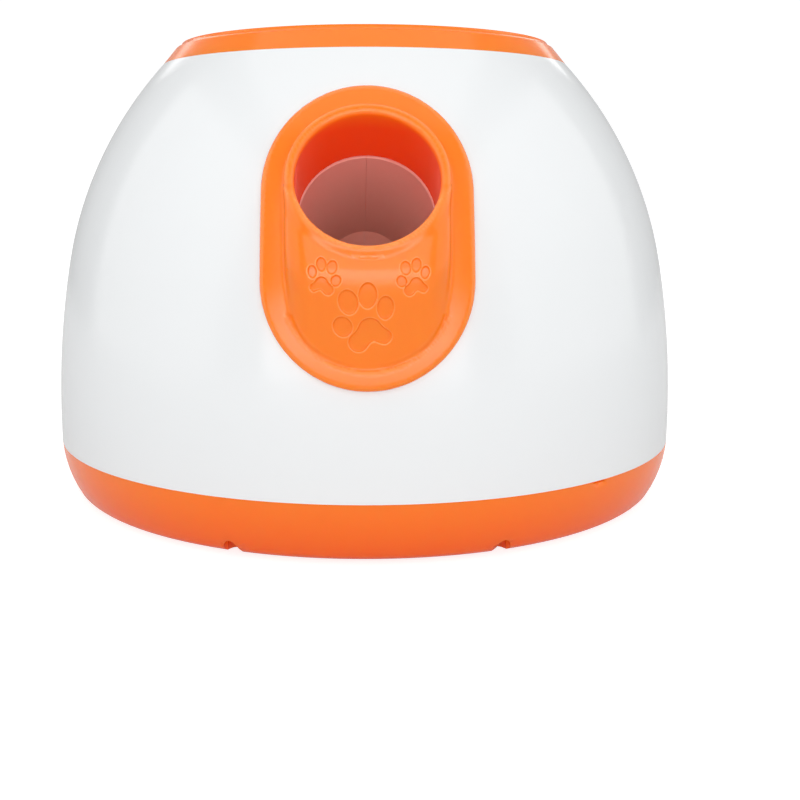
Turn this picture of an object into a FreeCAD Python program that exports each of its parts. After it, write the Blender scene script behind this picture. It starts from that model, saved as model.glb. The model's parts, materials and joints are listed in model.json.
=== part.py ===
import FreeCAD, Part
import math
import os
import Sketcher
from FreeCAD import Placement, Rotation, Vector

# Automatic dog ball launcher: a domed housing on a round base, a funnel on top that drops
# a ball into a slanted barrel, and a spring striker that a rack and a sector gear draw back.
# Millimetres. Origin at the middle of the footprint, +Z up, the muzzle points to -Y.
# The launch axis starts at the mouth and runs down into the housing at the angle "tilt".
# Places along it are (x, s, n): s is the depth from the mouth, n the height above the axis.

doc = FreeCAD.newDocument("DogBallLauncher")
sheet = doc.addObject("Spreadsheet::Sheet", "size")


class Size(float):
    """A number that also carries the sheet expression it came from."""

    def __new__(cls, value, text=None):
        number = super().__new__(cls, value)
        number.text = repr(float(value)) if text is None else text
        return number

    def __add__(self, other):
        other = as_size(other)
        return Size(float(self) + float(other), "(%s + %s)" % (self.text, other.text))

    def __sub__(self, other):
        other = as_size(other)
        return Size(float(self) - float(other), "(%s - %s)" % (self.text, other.text))

    def __mul__(self, other):
        other = as_size(other)
        return Size(float(self) * float(other), "(%s * %s)" % (self.text, other.text))

    def __truediv__(self, other):
        other = as_size(other)
        return Size(float(self) / float(other), "(%s / %s)" % (self.text, other.text))

    def __neg__(self):
        return Size(-float(self), "(0 - %s)" % self.text)

    def __radd__(self, other):
        return as_size(other) + self

    def __rsub__(self, other):
        return as_size(other) - self

    def __rmul__(self, other):
        return as_size(other) * self

    def __rtruediv__(self, other):
        return as_size(other) / self


def as_size(value):
    return value if isinstance(value, Size) else Size(value)


def cos_of(angle):
    angle = as_size(angle)
    return Size(math.cos(math.radians(angle)), "cos(%s)" % angle.text)


def sin_of(angle):
    angle = as_size(angle)
    return Size(math.sin(math.radians(angle)), "sin(%s)" % angle.text)


def root_of(value):
    value = as_size(value)
    return Size(math.sqrt(value), "sqrt(%s)" % value.text)


# ---------------------------------------------------------------- driving dimensions
# housing
dome_radius = 145.3             # widest half width
belly_height = 40.7             # where the dome is widest
seam_height = 25.7              # base to dome joint
shoulder_height = 107.0         # where the tighter arc starts
side_arc = 402.0                # lower arc of the dome
crown_arc = 181.0               # upper arc of the dome
crown_inset = 49.6              # top opening of the dome, in from its side
crown_height = 198.2
shell_wall = 2.8
ring_height = 10.1              # top ring above the dome
rim_inset = 6.2                 # outer edge of the top ring, in from the opening
base_inset = 15.3               # flat underside, in from the side
base_gap = 1.0                  # underside above the table
base_wall = 3.0
fit_gap = 0.3                   # between housing parts
screw_inset = 13.3              # base screws, in from the side
screw_count = 8
notch_half = 4.0                # pry notch in the seam
notch_height = 1.2
notch_angle = -50.0             # its direction from +X
hook_wall = 2.5                 # snap hooks of the muzzle hood
hook_drop = 53.0                # lower pair, under the middle of the mouth
hook_rise = 3.0                 # upper pair, above it
# funnel and barrel
funnel_height = 158.0           # where the funnel meets its neck
chute_bore = 29.0
tube_wall = 2.5
chute_top = 142.0
tilt = 27.0
mouth_inset = 10.3              # middle of the mouth, in from the side
seat_height = 76.5              # centre of the ball that waits in the barrel
mouth_bore = 28.2
barrel_bore = 27.0
hood_radius = 31.8
hood_depth = 33.0
hood_stand = 4.9                # front face of the hood, out from the side
hood_corner = 12.0
hood_drop = 73.3                # lowest point of the raised hood, under the middle of the mouth
flange_side = 8.9               # flange beside the hood
flange_under = 7.0              # flange below the hood
flange_over = 36.7              # flange above the middle of the mouth
flange_lift = 3.0
ball_radius = 25.0
# striker drive
drive_inset = 107.3             # striker travel: what the seat and the gears leave of the dome
striker_radius = 17.0
rod_radius = 2.5
rod_half_pitch = 23.0
rod_gap = 0.08
rack_module = 2.0
rack_width = 12.0
sector_teeth = 18                                # teeth of the full circle
wheel_module = 1.25
wheel_teeth = 48
pinion_teeth = 12
motor_module = 1.0
motor_wheel_teeth = 42
shaft_radius = 3.0
plate_inner = 31.0              # inner face of each side plate
plate_wall = 3.0
gear_width = 7.0
cover_space = 20.0              # right plate to the gear cover
spring_wire = 0.8               # wire radius
spring_radius = 4.6
motor_radius = 18.0
motor_length = 52.0
# battery bay
cell_radius = 13.1
cell_length = 50.0
bay_half = 41.0
bay_rear = -2.0
bay_length = 108.0
bay_wall = 2.0
door_gap = 0.4
# rear control panel
panel_height = 74.0
panel_half_width = 32.0
panel_half_height = 16.0
panel_sink = 5.7                # face of the rear panel, in from the side
panel_wall = 2.5
button_radius = 6.0


def to_sheet(sizes):
    """Write named numbers into the sheet and give them back bound to their cells."""
    bound = {}
    for row, (alias, value) in enumerate(sizes.items(), 1):
        sheet.set("A%d" % row, repr(value))
        sheet.setAlias("A%d" % row, alias)
        bound[alias] = Size(value, "size.%s" % alias)
    doc.recompute()
    return bound


# every decimal number above is a driving dimension; the whole numbers are counts
globals().update(to_sheet({name: value for name, value in globals().items()
                           if isinstance(value, float)}))

# ---------------------------------------------------------------- derived dimensions
CROWN_RADIUS = dome_radius - crown_inset
TOP_HEIGHT = crown_height + ring_height
RIM_RADIUS = CROWN_RADIUS - rim_inset
BASE_RADIUS = dome_radius - base_inset
SCREW_CIRCLE = dome_radius - screw_inset
MOUTH_Y = mouth_inset - dome_radius
HOOD_FRONT = dome_radius + hood_stand
FLANGE_HALF = hood_radius + flange_side
PANEL_FACE = dome_radius - panel_sink
TRAVEL = dome_radius - drive_inset
FLOOR = base_gap + base_wall                     # top face of the base floor
SEAT = -MOUTH_Y / cos_of(tilt)                   # depth of the ball that waits in the barrel
MOUTH_Z = seat_height + SEAT * sin_of(tilt)
HOOD_FOOT = MOUTH_Z - hood_drop
FLANGE_HEAD = MOUTH_Z + flange_over
FLANGE_FOOT = HOOD_FOOT - flange_under
LIP = SEAT + ball_radius * 0.7                   # ring that stops the ball
BARREL_END = LIP + 3.5
BULKHEAD = as_size(4)                            # thickness of the guide plates
STRIKER = BARREL_END + BULKHEAD + 0.5            # front face of the striker at rest
HEAD_BACK = STRIKER + 8
CROSS_BACK = HEAD_BACK + 10                      # rear face of the crosshead
REAR_PLATE = CROSS_BACK + TRAVEL + 25            # front face of the rear guide plate
GUIDE_TOP = as_size(22)                          # top edge of the front guide plate
ROD_LEVEL = as_size(-3)                          # rods and springs below the launch axis
RACK_LINE = as_size(4)                           # pitch line of the rack above the axis
SECTOR_RADIUS = rack_module * sector_teeth / 2
SECTOR_CUT = math.ceil(float(TRAVEL) / (float(rack_module) * math.pi)) + 1   # teeth it really has
SECTOR_S = HEAD_BACK + TRAVEL + SECTOR_RADIUS + 2
SECTOR_N = RACK_LINE + SECTOR_RADIUS
WHEEL_RADIUS = wheel_module * wheel_teeth / 2
PINION_RADIUS = wheel_module * pinion_teeth / 2
MOTOR_WHEEL_RADIUS = motor_module * motor_wheel_teeth / 2
MOTOR_PINION_RADIUS = motor_module * pinion_teeth / 2
PLATE_OUTER = plate_inner + plate_wall
COVER = PLATE_OUTER + cover_space                # inner face of the gear cover


# ---------------------------------------------------------------- helpers
def bind(item, **sizes):
    """Bind properties of an object to the sheet."""
    for name, value in sizes.items():
        item.setExpression(name.replace("__", "."), as_size(value).text)
    return item


def place(item, x=0, y=0, z=0, axis=None, angle=0):
    """Put an object at a bound place, turned about one axis by a bound angle."""
    item.Placement = Placement(Vector(x, y, z), Rotation(axis or Vector(0, 0, 1), float(angle)))
    bind(item, Placement__Base__x=x, Placement__Base__y=y, Placement__Base__z=z)
    if axis is not None:
        bind(item, Placement__Rotation__Angle=angle)
    return item


def on_axis(x, s, n):
    """Place on the launch axis, in the frame of the launcher."""
    return (as_size(x),
            MOUTH_Y + s * cos_of(tilt) + n * sin_of(tilt),
            MOUTH_Z - s * sin_of(tilt) + n * cos_of(tilt))


def cylinder(name, radius, length, at, along="z"):
    item = doc.addObject("Part::Cylinder", name)
    bind(item, Radius=radius, Height=length)
    turns = {"z": (None, 0), "x": (Vector(0, 1, 0), 90), "y": (Vector(-1, 0, 0), 90),
             "launch": (Vector(-1, 0, 0), 90 + tilt)}
    axis, angle = turns[along]
    return place(item, at[0], at[1], at[2], axis, angle)


def cone(name, radius1, radius2, length, at, along="launch"):
    item = doc.addObject("Part::Cone", name)
    bind(item, Radius1=radius1, Radius2=radius2, Height=length)
    turns = {"z": (None, 0), "launch": (Vector(-1, 0, 0), 90 + tilt)}
    axis, angle = turns[along]
    return place(item, at[0], at[1], at[2], axis, angle)


def box(name, low, high, tilted=False):
    """Box between two corners; tilted boxes give them as (x, s, n) on the launch axis."""
    item = doc.addObject("Part::Box", name)
    low = [as_size(value) for value in low]
    high = [as_size(value) for value in high]
    bind(item, Length=high[0] - low[0], Width=high[1] - low[1], Height=high[2] - low[2])
    if tilted:
        x, y, z = on_axis(*low)
        return place(item, x, y, z, Vector(-1, 0, 0), tilt)
    return place(item, *low)


def fuse(name, shapes):
    item = doc.addObject("Part::MultiFuse", name)
    item.Shapes = shapes
    return item


def common(name, shapes):
    item = doc.addObject("Part::MultiCommon", name)
    item.Shapes = shapes
    return item


def cut(name, base, tools):
    """Cut the tools away one after the other."""
    for number, tool in enumerate(tools, 1):
        item = doc.addObject("Part::Cut", name if number == len(tools) else name + "_step")
        item.Base = base
        item.Tool = tool
        base = item
    return base


def group(name, shapes):
    """Separate solids of one node."""
    item = doc.addObject("Part::Compound", name)
    item.Links = shapes
    return item


class Arc:
    """An arc between two outline points; bulge is +1 to the left of the way, -1 to the right."""

    def __init__(self, radius, bulge):
        self.radius = as_size(radius)
        self.bulge = bulge


def arc_shape(start, end, arc):
    """Counter-clockwise arc geometry, and which of its vertices (1 or 2) is the start point."""
    way = end - start
    half = way.Length / 2
    reach = math.sqrt(max(float(arc.radius) ** 2 - half ** 2, 0))
    left = Vector(-way.y, way.x, 0).normalize()
    centre = (start + end) / 2 - left * (reach * arc.bulge)
    first, second = (end, start) if arc.bulge > 0 else (start, end)
    angles = [math.atan2(point.y - centre.y, point.x - centre.x) for point in (first, second)]
    if angles[1] <= angles[0]:
        angles[1] += 2 * math.pi
    circle = Part.Circle(centre, Vector(0, 0, 1), float(arc.radius))
    return Part.ArcOfCircle(circle, angles[0], angles[1]), 2 if arc.bulge > 0 else 1


def fix_point(sketch, geometry, vertex, point):
    """Hold one vertex of a sketch at a bound place."""
    for kind, value in (("DistanceX", point[0]), ("DistanceY", point[1])):
        index = sketch.addConstraint(
            Sketcher.Constraint(kind, -1, 1, geometry, vertex, float(value)))
        sketch.setExpression("Constraints[%d]" % index, as_size(value).text)


def draw_outline(sketch, path):
    """Draw a closed outline of points, with an Arc between two points where it is round."""
    points = [(index, item) for index, item in enumerate(path) if not isinstance(item, Arc)]
    for number, (index, point) in enumerate(points):
        after = points[(number + 1) % len(points)][1]
        start = Vector(float(point[0]), float(point[1]), 0)
        end = Vector(float(after[0]), float(after[1]), 0)
        following = path[index + 1] if index + 1 < len(path) else None
        if isinstance(following, Arc):
            shape, starts = arc_shape(start, end, following)
            added = sketch.addGeometry(shape)
            ends = 3 - starts
            index = sketch.addConstraint(
                Sketcher.Constraint("Radius", added, float(following.radius)))
            sketch.setExpression("Constraints[%d]" % index, following.radius.text)
        else:
            added = sketch.addGeometry(Part.LineSegment(start, end))
            starts, ends = 1, 2
        if number == 0:
            first_vertex = (added, starts)
        else:
            sketch.addConstraint(Sketcher.Constraint("Coincident", last[0], last[1], added, starts))
        fix_point(sketch, added, starts, point)
        last = (added, ends)
    sketch.addConstraint(
        Sketcher.Constraint("Coincident", last[0], last[1], first_vertex[0], first_vertex[1]))


def draw_circle(sketch, centre, radius):
    added = sketch.addGeometry(
        Part.Circle(Vector(float(centre[0]), float(centre[1]), 0), Vector(0, 0, 1), float(radius)))
    fix_point(sketch, added, 3, centre)
    index = sketch.addConstraint(Sketcher.Constraint("Radius", added, float(radius)))
    sketch.setExpression("Constraints[%d]" % index, as_size(radius).text)


def draw_box(sketch, left, right, bottom, top):
    draw_outline(sketch, [(left, bottom), (right, bottom), (right, top), (left, top)])


def stadium(half, foot, head):
    """Upright slot outline: half width, lowest and highest point."""
    low, high = foot + half, head - half
    return [(half, low), (half, high), Arc(half, -1), (as_size(0), head), Arc(half, -1),
            (-half, high), (-half, low), Arc(half, -1), (as_size(0), foot), Arc(half, -1)]


PLANES = {"XY": Rotation(), "XZ": Rotation(Vector(1, 0, 0), 90), "YZ": Rotation(90, 0, 90)}


def free_sketch(name, plane, path=None):
    sketch = doc.addObject("Sketcher::SketchObject", name)
    sketch.Placement = Placement(Vector(), PLANES[plane])
    if path:
        draw_outline(sketch, path)
    return sketch


def extrude(name, sketch, direction, start, length):
    """Straight solid from a sketch; start moves it along the direction first."""
    item = doc.addObject("Part::Extrusion", name)
    item.Base = sketch
    item.DirMode = "Custom"
    item.Dir = direction
    item.Solid = True
    bind(item, LengthFwd=as_size(start) + length, LengthRev=-as_size(start))
    return item


def spin(name, sketch):
    """Full turn of a sketch about the upright axis."""
    item = doc.addObject("Part::Revolution", name)
    item.Source = sketch
    item.Axis = Vector(0, 0, 1)
    item.Angle = 360
    item.Solid = True
    return item


def new_body(name):
    body = doc.addObject("PartDesign::Body", name)
    body.Label = name
    return body


def origin_item(body, role):
    return [item for item in body.Origin.OriginFeatures if item.Role == role][0]


def body_sketch(body, name, plane, offset=0):
    """Sketch on an origin plane of its body, moved along the plane's normal."""
    sketch = body.newObject("Sketcher::SketchObject", name)
    sketch.AttachmentSupport = [(origin_item(body, plane + "_Plane"), "")]
    sketch.MapMode = "FlatFace"
    bind(sketch, AttachmentOffset__Base__z=offset)
    return sketch


def pad(body, name, sketch, length, reverse=False):
    feature = body.newObject("PartDesign::Pad", name)
    feature.Profile = sketch
    feature.Reversed = reverse
    bind(feature, Length=length)
    return feature


def pocket(body, name, sketch, length, reverse=False):
    feature = body.newObject("PartDesign::Pocket", name)
    feature.Profile = sketch
    feature.Reversed = reverse
    bind(feature, Length=length)
    return feature


def revolve(body, name, sketch, axis="Z_Axis"):
    feature = body.newObject("PartDesign::Revolution", name)
    feature.Profile = sketch
    feature.ReferenceAxis = (origin_item(body, axis), [""])
    feature.Angle = 360
    return feature


def around(body, name, feature, axis, count, angle=360):
    """Polar pattern of one feature about an origin axis of its body."""
    pattern = body.newObject("PartDesign::PolarPattern", name)
    pattern.Originals = [feature]
    pattern.Axis = (origin_item(body, axis), [""])
    pattern.Angle = angle
    pattern.Occurrences = count
    body.Tip = pattern
    return pattern


def tooth_half(module, teeth, radius_factor, slack):
    """Half thickness of an involute tooth, as a bound size; radius_factor is in modules."""
    pressure = math.radians(20)
    pitch = teeth / 2
    base = pitch * math.cos(pressure)
    angle = math.acos(min(base / radius_factor, 1))
    involute = math.tan(pressure) - pressure - (math.tan(angle) - angle)
    half = radius_factor * (math.pi / 2 / teeth + involute)
    return module * half - slack


def add_teeth(body, name, module, teeth, width, start, count=None, slack=0.1, addendum=0.95):
    """Pad one tooth from just inside the root disc and repeat it round the X axis."""
    pitch = teeth / 2
    root, tip = pitch - 1.25, pitch + addendum
    halves = [tooth_half(module, teeth, max(factor, pitch * 0.94), slack)
              for factor in (root, pitch, tip)]
    radii = [module * (root - 0.3), module * pitch, module * tip]
    path = [(radii[0], -halves[0]), (radii[1], -halves[1]), (radii[2], -halves[2]),
            (radii[2], halves[2]), (radii[1], halves[1]), (radii[0], halves[0])]
    sketch = body_sketch(body, name + "_outline", "YZ", start)
    draw_outline(sketch, path)
    tooth = pad(body, name, sketch, width)
    count = count or teeth
    angle = 360 if count == teeth else 360.0 / teeth * (count - 1)
    around(body, name + "_pattern", tooth, "X_Axis", count, angle)


def disc(body, name, radius, start, width, bore=None):
    sketch = body_sketch(body, name + "_outline", "YZ", start)
    draw_circle(sketch, (0, 0), radius)
    if bore is not None:
        draw_circle(sketch, (0, 0), bore)
    return pad(body, name, sketch, width)


def screw(name, at, along, shank, length, head, head_length):
    """Pan head screw: the head starts at the given place, the shank goes on along the axis."""
    head_part = cylinder(name + "_head", head, head_length, at, along)
    ways = {"z": (0, 0, 1), "x": (1, 0, 0), "y": (0, 1, 0)}
    way = ways[along]
    start = [place_ + head_length * step for place_, step in zip(map(as_size, at), way)]
    shank_part = cylinder(name + "_shank", shank, length, start, along)
    return fuse(name, [head_part, shank_part])


def ring_places(radius, count, first):
    """Places on a circle, the first at the given angle from +X."""
    return [(radius * math.cos(math.radians(first + 360 / count * number)),
             radius * math.sin(math.radians(first + 360 / count * number)))
            for number in range(count)]


# ---------------------------------------------------------------- dome outline
def side_at(height, offset=0):
    """Radius of the lower dome arc at a height."""
    radius = side_arc + offset
    rise = height - belly_height
    return dome_radius - side_arc + root_of(radius * radius - rise * rise)


def dome_half(offset, foot, head_shift):
    """Outline points of the dome from foot to crown, moved out by an offset."""
    return [(side_at(foot, offset), foot), Arc(side_arc + offset, -1),
            (side_at(shoulder_height, offset), shoulder_height), Arc(crown_arc + offset, -1),
            (CROWN_RADIUS + head_shift, crown_height)]


def dome_solid(name, offset, head_shift):
    """Solid of revolution inside the dome outline moved out by an offset."""
    path = [(as_size(0), seam_height)] + dome_half(offset, seam_height, head_shift)
    path.append((as_size(0), crown_height))
    return spin(name, free_sketch(name + "_outline", "XZ", path))


CROWN_SHIFT = -1.35                              # sideways share of the wall at the crown


# ---------------------------------------------------------------- base tray
def make_base_tray():
    body = new_body("base_tray")
    sketch = body_sketch(body, "tray_outline", "XZ")
    rim = side_at(seam_height)
    edge = BASE_RADIUS + 8
    draw_outline(sketch, [
        (as_size(0), base_gap), (BASE_RADIUS, base_gap), Arc(9, -1),
        (edge, base_gap + 3), Arc(48, -1), (rim, seam_height),
        (rim - base_wall, seam_height), Arc(45, 1), (edge - base_wall, FLOOR + 2),
        (edge - base_wall - 4, FLOOR), (as_size(0), FLOOR)])
    revolve(body, "tray", sketch)
    # register lip inside the dome
    lip = body_sketch(body, "lip_outline", "XY", seam_height - 3)
    draw_circle(lip, (0, 0), side_at(seam_height) - shell_wall - fit_gap)
    draw_circle(lip, (0, 0), side_at(seam_height) - shell_wall - fit_gap - 2)
    pad(body, "lip", lip, as_size(6))
    doc.recompute()
    # notch in the seam, where the housing is levered open
    notch = body_sketch(body, "notch_outline", "XY", seam_height - notch_height)
    draw_outline(notch, radial_path(rim - 1.8, rim + 5, notch_half, notch_angle))
    pocket(body, "notch", notch, notch_height + 1, reverse=True)
    # screw posts, each with a recess for the screw head that breaks the lower edge
    post = body_sketch(body, "post_outline", "XY", FLOOR - 1)
    draw_circle(post, post_place(), 5.2)
    posts = pad(body, "post", post, seam_height - FLOOR + 1)
    around(body, "posts", posts, "Z_Axis", screw_count)
    doc.recompute()
    recess = body_sketch(body, "recess_outline", "XY", 0)
    draw_circle(recess, post_place(), 4)
    recesses = pocket(body, "recess", recess, as_size(9), reverse=True)
    around(body, "recesses", recesses, "Z_Axis", screw_count)
    hole = body_sketch(body, "hole_outline", "XY", 0)
    draw_circle(hole, post_place(), 1.7)
    holes = pocket(body, "hole", hole, seam_height + 1, reverse=True)
    around(body, "holes", holes, "Z_Axis", screw_count)
    # battery opening, with room for the hinge barrel along its rear edge
    opening = body_sketch(body, "opening_outline", "XY", 0)
    draw_box(opening, -DOOR_HALF - door_gap, DOOR_HALF + door_gap,
             DOOR_FRONT - door_gap, DOOR_REAR + door_gap)
    pocket(body, "opening", opening, FLOOR + 1, reverse=True)
    pin = body_sketch(body, "pin_hole_outline", "YZ", -DOOR_HALF - 5)
    draw_circle(pin, (DOOR_PIN_Y, DOOR_PIN_Z), 0.8)
    pocket(body, "pin_hole", pin, DOOR_HALF * 2 + 10, reverse=True)
    # holes and head recesses of the frame screws
    for name, radius, depth in (("frame_hole", 1.7, FLOOR + 1),
                                ("frame_recess", 3.2, base_gap + 1.5)):
        sketch = body_sketch(body, name + "_outline", "XY", 0)
        for x, y in frame_screw_places():
            draw_circle(sketch, (x, y), radius)
        pocket(body, name, sketch, depth, reverse=True)
    # foot recesses
    foot = body_sketch(body, "foot_outline", "XY", 0)
    draw_circle(foot, (FOOT_CIRCLE * math.cos(math.radians(45)),
                       FOOT_CIRCLE * math.sin(math.radians(45))), FOOT_RADIUS + 0.05)
    feet = pocket(body, "foot", foot, base_gap + 1, reverse=True)
    around(body, "foot_recesses", feet, "Z_Axis", 4)
    return body


def post_place():
    angle = math.radians(180.0 / screw_count)
    return (SCREW_CIRCLE * math.cos(angle), SCREW_CIRCLE * math.sin(angle))


FOOT_RADIUS = Size(9)
FOOT_CIRCLE = BASE_RADIUS - 18
DOOR_HALF = bay_half - 3
DOOR_REAR = bay_rear - 2
DOOR_FRONT = bay_rear - bay_length + 2
DOOR_PIN_Y = DOOR_REAR - 1.5
DOOR_PIN_Z = base_gap + 1.5


def frame_screw_places():
    """Under both feet of both side plates."""
    return [((PLATE_OUTER + 4.8) * side, SECTOR[0] + y) for side in (-1, 1) for y in (-52, 10)]


def make_frame_screws():
    return group("frame_screws", [
        screw("frame_screw_%d" % number, (x, y, base_gap), "z", 1.5, FLOOR - base_gap + 1, 3, 1.5)
        for number, (x, y) in enumerate(frame_screw_places())])


def make_feet():
    places = ring_places(FOOT_CIRCLE, 4, 45)
    return group("rubber_feet", [
        cylinder("foot_%d" % number, FOOT_RADIUS, base_gap + 1, (x, y, 0))
        for number, (x, y) in enumerate(places)])


def make_base_screws():
    places = ring_places(SCREW_CIRCLE, screw_count, 180.0 / screw_count)
    return group("base_screws", [
        screw("base_screw_%d" % number, (x, y, as_size(6)), "z", 1.5, seam_height + 4, 3, 3)
        for number, (x, y) in enumerate(places)])


# ---------------------------------------------------------------- dome
def make_body_shell():
    body = new_body("body_shell")
    sketch = body_sketch(body, "shell_outline", "XZ")
    outer = dome_half(0, seam_height, 0)
    inner = [(CROWN_RADIUS + shell_wall * CROWN_SHIFT, crown_height),
             Arc(crown_arc - shell_wall, 1),
             (side_at(shoulder_height, -shell_wall), shoulder_height),
             Arc(side_arc - shell_wall, 1), (side_at(seam_height, -shell_wall), seam_height)]
    draw_outline(sketch, outer + inner)
    revolve(body, "shell", sketch)
    # screw posts on webs that grow out of the wall
    post = body_sketch(body, "post_outline", "XY", seam_height)
    draw_circle(post, post_place(), 4.5)
    posts = pad(body, "post", post, as_size(20))
    around(body, "posts", posts, "Z_Axis", screw_count)
    web = body_sketch(body, "web_outline", "XY", seam_height + 3.5)
    draw_outline(web, radial_path(SCREW_CIRCLE, side_at(seam_height) - 1.5, 1.2,
                                  180.0 / screw_count))
    webs = pad(body, "web", web, as_size(16.5))
    around(body, "webs", webs, "Z_Axis", screw_count)
    doc.recompute()
    bore = body_sketch(body, "post_bore_outline", "XY", seam_height)
    draw_circle(bore, post_place(), 1.5)
    bores = pocket(body, "post_bore", bore, as_size(16), reverse=True)
    around(body, "post_bores", bores, "Z_Axis", screw_count)
    # lugs under the crown for the funnel screws
    lug = body_sketch(body, "lug_outline", "XY", LUG_HEIGHT)
    draw_outline(lug, radial_path(LUG_CIRCLE - 5, LUG_CIRCLE + 20, 5, 45))
    lugs = pad(body, "lug", lug, as_size(3))
    around(body, "lugs", lugs, "Z_Axis", 4)
    hole = body_sketch(body, "lug_hole_outline", "XY", LUG_HEIGHT - 1)
    draw_circle(hole, (LUG_CIRCLE * COS45, LUG_CIRCLE * COS45), 1.7)
    holes = pocket(body, "lug_hole", hole, as_size(5), reverse=True)
    around(body, "lug_holes", holes, "Z_Axis", 4)
    # window for the muzzle hood
    window = body_sketch(body, "window_outline", "XZ", 0)
    draw_outline(window, stadium(PLUG_HALF, PLUG_FOOT, PLUG_HEAD))
    pocket(body, "window", window, dome_radius + 10, reverse=True)
    # bosses beside the rear panel for its two screws
    boss = body_sketch(body, "panel_boss_outline", "XZ", -PANEL_EAR)
    for x in (-PANEL_SCREW, PANEL_SCREW):
        draw_circle(boss, (x, panel_height), 3.8)
    pad(body, "panel_boss", boss, PANEL_BOSS, reverse=True)
    doc.recompute()
    bore = body_sketch(body, "panel_bore_outline", "XZ", 1 - PANEL_EAR)
    for x in (-PANEL_SCREW, PANEL_SCREW):
        draw_circle(bore, (x, panel_height), 1.5)
    pocket(body, "panel_bore", bore, PANEL_BOSS - 1)
    # window for the rear panel
    panel = body_sketch(body, "panel_window_outline", "XZ", 0)
    draw_outline(panel, panel_path(fit_gap))
    pocket(body, "panel_window", panel, dome_radius + 10, reverse=False)
    return body


COS45 = math.cos(math.radians(45))
LUG_HEIGHT = crown_height - 16
LUG_CIRCLE = RIM_RADIUS - 6
PLUG_HALF = FLANGE_HALF - 5
PLUG_FOOT = FLANGE_FOOT + 5
PLUG_HEAD = FLANGE_HEAD - 5


PANEL_SCREW = panel_half_width + 10              # screws of the rear panel, to each side
PANEL_BOSS = as_size(10)                         # depth of their bosses on the dome
PANEL_EAR = dome_radius - 19                     # where the ears of the panel meet the bosses


def radial_path(inner, outer, half, degrees):
    """Outline of a tongue that points out from the dome axis."""
    cosine, sine = math.cos(math.radians(degrees)), math.sin(math.radians(degrees))
    corners = [(inner, -half), (outer, -half), (outer, half), (inner, half)]
    return [(along * cosine - across * sine, along * sine + across * cosine)
            for along, across in corners]


def panel_path(grow):
    """Sideways slot outline of the rear panel."""
    half, tall = panel_half_width + grow, panel_half_height + grow
    low, high = panel_height - tall, panel_height + tall
    left, right = tall - half, half - tall
    return [(left, low), (right, low), Arc(tall, -1), (half, panel_height), Arc(tall, -1),
            (right, high), (left, high), Arc(tall, -1), (-half, panel_height), Arc(tall, -1)]


# ---------------------------------------------------------------- funnel with the top ring
def make_top_hopper():
    body = new_body("top_hopper")
    sketch = body_sketch(body, "funnel_outline", "XZ")
    wall = base_wall
    bowl = RIM_RADIUS - 6
    sleeve = chute_bore + tube_wall + fit_gap
    draw_outline(sketch, [
        (CROWN_RADIUS, crown_height), (RIM_RADIUS, TOP_HEIGHT - 2.4), Arc(3, 1),
        (RIM_RADIUS - 2.8, TOP_HEIGHT), (bowl + 1.5, TOP_HEIGHT), Arc(2.5, 1),
        (bowl - 0.6, TOP_HEIGHT - 1.8),
        (chute_bore + 10, funnel_height + 4), Arc(11, 1), (chute_bore, funnel_height - 6),
        (chute_bore, chute_top), (sleeve, chute_top), (sleeve, chute_top - 10),
        (sleeve + 2, chute_top - 10), (sleeve + 2, funnel_height - 8), Arc(9, -1),
        (chute_bore + 12, funnel_height), (bowl - 1, TOP_HEIGHT - 7),
        (bowl + 3, crown_height)])
    revolve(body, "funnel", sketch)
    boss = body_sketch(body, "boss_outline", "XY", LUG_HEIGHT + 3)
    draw_circle(boss, (LUG_CIRCLE * COS45, LUG_CIRCLE * COS45), 4)
    bosses = pad(body, "boss", boss, crown_height - LUG_HEIGHT)
    around(body, "bosses", bosses, "Z_Axis", 4)
    doc.recompute()
    bore = body_sketch(body, "boss_bore_outline", "XY", LUG_HEIGHT + 3)
    draw_circle(bore, (LUG_CIRCLE * COS45, LUG_CIRCLE * COS45), 1.5)
    bores = pocket(body, "boss_bore", bore, as_size(12), reverse=True)
    around(body, "boss_bores", bores, "Z_Axis", 4)
    return body


def make_hopper_screws():
    places = ring_places(LUG_CIRCLE, 4, 45)
    return group("hopper_screws", [
        screw("hopper_screw_%d" % number, (x, y, LUG_HEIGHT - 2.5), "z", 1.5, as_size(12), 3, 2.5)
        for number, (x, y) in enumerate(places)])


# ---------------------------------------------------------------- muzzle hood
def upright_prism(name, half, foot, head):
    """Slot-shaped prism that runs forward through the front of the dome."""
    sketch = free_sketch(name + "_outline", "XZ", stadium(half, foot, head))
    return extrude(name, sketch, Vector(0, -1, 0), 70, dome_radius - 40)


def hood_block_path(front):
    """Plan outline of the raised hood: a front face round the dome axis, rounded corners."""
    half, corner = HOOD_HALF, hood_corner
    centre_x = half - corner
    centre_y = -root_of((front - corner) * (front - corner) - centre_x * centre_x)
    scale = front / (front - corner)
    return [(-half, MOUTH_Y + 35), (-half, centre_y), Arc(corner, -1),
            (-centre_x * scale, centre_y * scale), Arc(front, -1),
            (centre_x * scale, centre_y * scale), Arc(corner, -1),
            (half, centre_y), (half, MOUTH_Y + 35)]


def edges_where(shape, wanted):
    """Numbers of the edges whose points all meet a condition, without straight level ones."""
    found = []
    for number, edge in enumerate(shape.Edges, 1):
        points = edge.discretize(5)
        level = edge.Curve.TypeId == "Part::GeomLine" and abs(points[0].z - points[4].z) < 0.01
        if not level and all(wanted(point) for point in points):
            found.append(number)
    return found


def round_edges(name, item, radius, wanted):
    doc.recompute()
    fillet = doc.addObject("Part::Fillet", name)
    fillet.Base = item
    fillet.Edges = [(number, float(radius), float(radius))
                    for number in edges_where(item.Shape, wanted)]
    return fillet


def mouth_depth(point):
    """Depth of a point behind the plane of the mouth."""
    return ((point.y - MOUTH_Y) * math.cos(math.radians(tilt))
            - (point.z - MOUTH_Z) * math.sin(math.radians(tilt)))


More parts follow.
